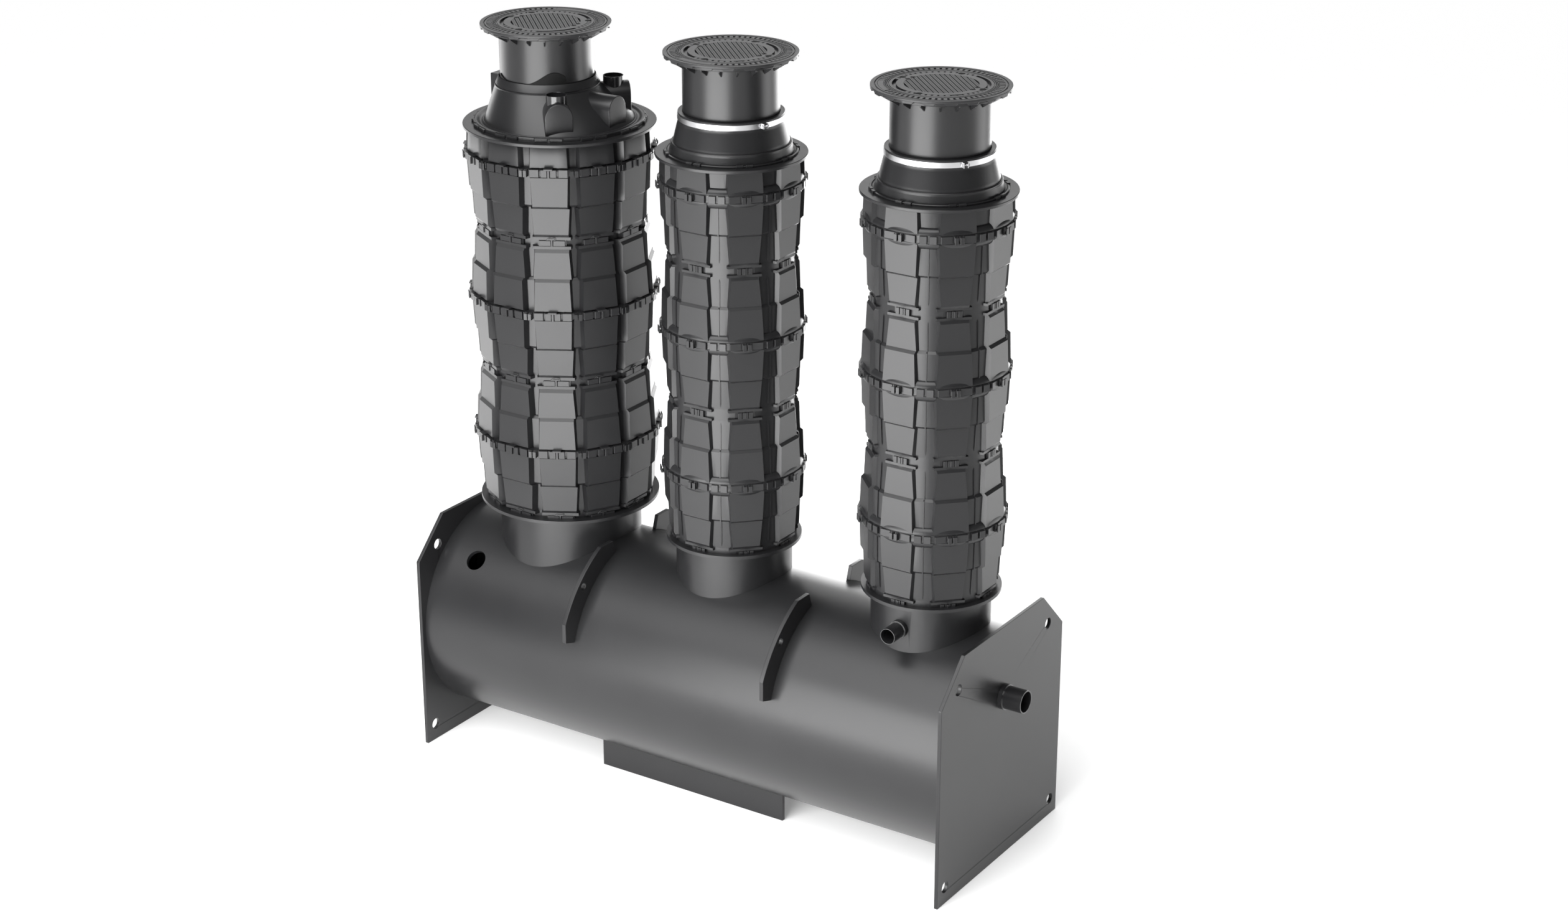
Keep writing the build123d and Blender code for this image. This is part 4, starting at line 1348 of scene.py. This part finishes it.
@dataclass(frozen=True)
class SoftBox:
    """A rectangular area lamp that stands round the object and faces it, in metres and degrees."""

    name: str
    azimuth: float
    distance: float
    size: tuple[float, float]
    height: float
    radiance: float
    aim_height: float = 2.6

    def build(self) -> None:
        """Make the lamp, its azimuth counted from -Y towards +X."""
        data = bpy.data.lights.new(self.name, "AREA")
        data.shape = "RECTANGLE"
        data.size, data.size_y = self.size
        data.energy = self.radiance * math.pi * self.size[0] * self.size[1]
        lamp = bpy.data.objects.new(self.name, data)
        turn = math.radians(self.azimuth)
        lamp.location = (
            self.distance * math.sin(turn), -self.distance * math.cos(turn), self.height)
        down = math.atan2(self.height - self.aim_height, self.distance)
        lamp.rotation_euler = (math.pi / 2 - down, 0.0, turn)
        lamp.visible_camera = False
        bpy.context.scene.collection.objects.link(lamp)


SOFT_BOXES = (
    SoftBox("front_box", 0.0, 6.0, (6.2, 5.0), 2.1, 7.5),
    SoftBox("left_box", -100.0, 6.5, (3.6, 5.0), 2.1, 1.6),
    SoftBox("right_box", 128.0, 7.5, (3.6, 5.0), 2.1, 2.2),
    SoftBox("back_box", 213.0, 12.0, (11.0, 4.0), 10.0, 1.8),
    SoftBox("top_box", -10.0, 2.2, (8.0, 5.0), 9.5, 1.1),
    SoftBox("rear_box", 188.0, 8.0, (6.5, 5.0), 2.4, 4.5),
)


@dataclass
class Studio:
    """Floor, lamps, world and the camera at the photograph's viewing angle."""

    eye: Point = (10.2151, -14.9897, 9.6729)
    yaw: float = 0.5782247
    pitch: float = 0.3790395
    lens: float = 65.66
    sensor_width: float = 36.0
    view_reach: float = 400.0
    floor_reach: float = 90.0
    floor_color: float = 0.93
    floor_roughness: float = 0.9
    floor_gloss: float = 0.1
    floor_glow: float = 0.22
    world_level: float = 0.14
    key_level: float = 2.8
    key_spread: float = 55.0
    key_tilt: tuple[float, float] = (38.0, -8.0)

    def build(self) -> None:
        """Set up everything that isn't the object."""
        self.build_camera()
        self.build_floor()
        self.build_world()
        self.build_key()
        for box in SOFT_BOXES:
            box.build()
        bpy.context.scene.view_settings.view_transform = "Standard"

    def build_camera(self) -> None:
        """The camera."""
        data = bpy.data.cameras.new("camera")
        data.lens, data.sensor_width = self.lens, self.sensor_width
        data.clip_end = self.view_reach
        camera = bpy.data.objects.new("camera", data)
        camera.location = self.eye
        camera.rotation_euler = (math.pi / 2 - self.pitch, 0.0, self.yaw)
        bpy.context.scene.collection.objects.link(camera)
        bpy.context.scene.camera = camera

    def build_floor(self) -> None:
        """A pale floor that reaches past the view and is seen a little brighter than it is lit."""
        reach = self.floor_reach
        corners = [(-reach, -reach, 0), (reach, -reach, 0), (reach, reach, 0), (-reach, reach, 0)]
        mesh = bpy.data.meshes.new("floor")
        mesh.from_pydata(corners, [], [(0, 1, 2, 3)])
        floor = linked("floor", mesh)
        material = bpy.data.materials.new("pale_floor")
        material.use_nodes = True
        material.node_tree.nodes.clear()
        graph = Graph(material.node_tree)
        shader = graph.node("ShaderNodeBsdfPrincipled", {
            "Base Color": (*(self.floor_color,) * 3, 1.0), "Roughness": self.floor_roughness,
            "Specular IOR Level": self.floor_gloss})
        rays = graph.node("ShaderNodeLightPath").outputs
        seen = graph.math("ADD", rays["Is Camera Ray"], rays["Is Glossy Ray"])
        seen = graph.math("MINIMUM", graph.math("ADD", seen, rays["Is Transmission Ray"]), 1.0)
        strength = graph.math("MULTIPLY", seen, self.floor_glow)
        glow = graph.node("ShaderNodeEmission", {"Strength": strength})
        both = graph.node("ShaderNodeAddShader", {0: shader.outputs[0], 1: glow.outputs[0]})
        graph.node("ShaderNodeOutputMaterial", {"Surface": both.outputs[0]})
        mesh.materials.append(material)

    def build_world(self) -> None:
        """Even light from all round."""
        world = bpy.data.worlds.new("studio")
        world.use_nodes = True
        background = world.node_tree.nodes["Background"]
        background.inputs["Color"].default_value = (1.0, 1.0, 1.0, 1.0)
        background.inputs["Strength"].default_value = self.world_level
        bpy.context.scene.world = world

    def build_key(self) -> None:
        """A broad key light from above the front."""
        data = bpy.data.lights.new("key", "SUN")
        data.energy, data.angle = self.key_level, math.radians(self.key_spread)
        key = bpy.data.objects.new("key", data)
        key.rotation_euler = (
            math.radians(self.key_tilt[0]), 0.0, math.radians(self.key_tilt[1]))
        bpy.context.scene.collection.objects.link(key)


def main() -> None:
    """Build the looks round the frame."""
    logging.basicConfig(level=logging.INFO, format="%(name)s: %(message)s")
    for start_object in list(bpy.data.objects):
        bpy.data.objects.remove(start_object)
    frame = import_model()
    Studio().build()
    shop = Workshop()
    shop.dress(frame["nodes"])
    rings = {Side.LARGE: LARGE_RING, Side.MIDDLE: SMALL_RING, Side.RIGHT: SMALL_RING}
    for side, shape in rings.items():
        Riser(side, shape).build(shop)
        Cover(side).build(shop)
    SmallCone(Side.MIDDLE).build(shop)
    SmallCone(Side.RIGHT).build(shop)
    LargeCone().build(shop)


if __name__ == "__main__":
    main()
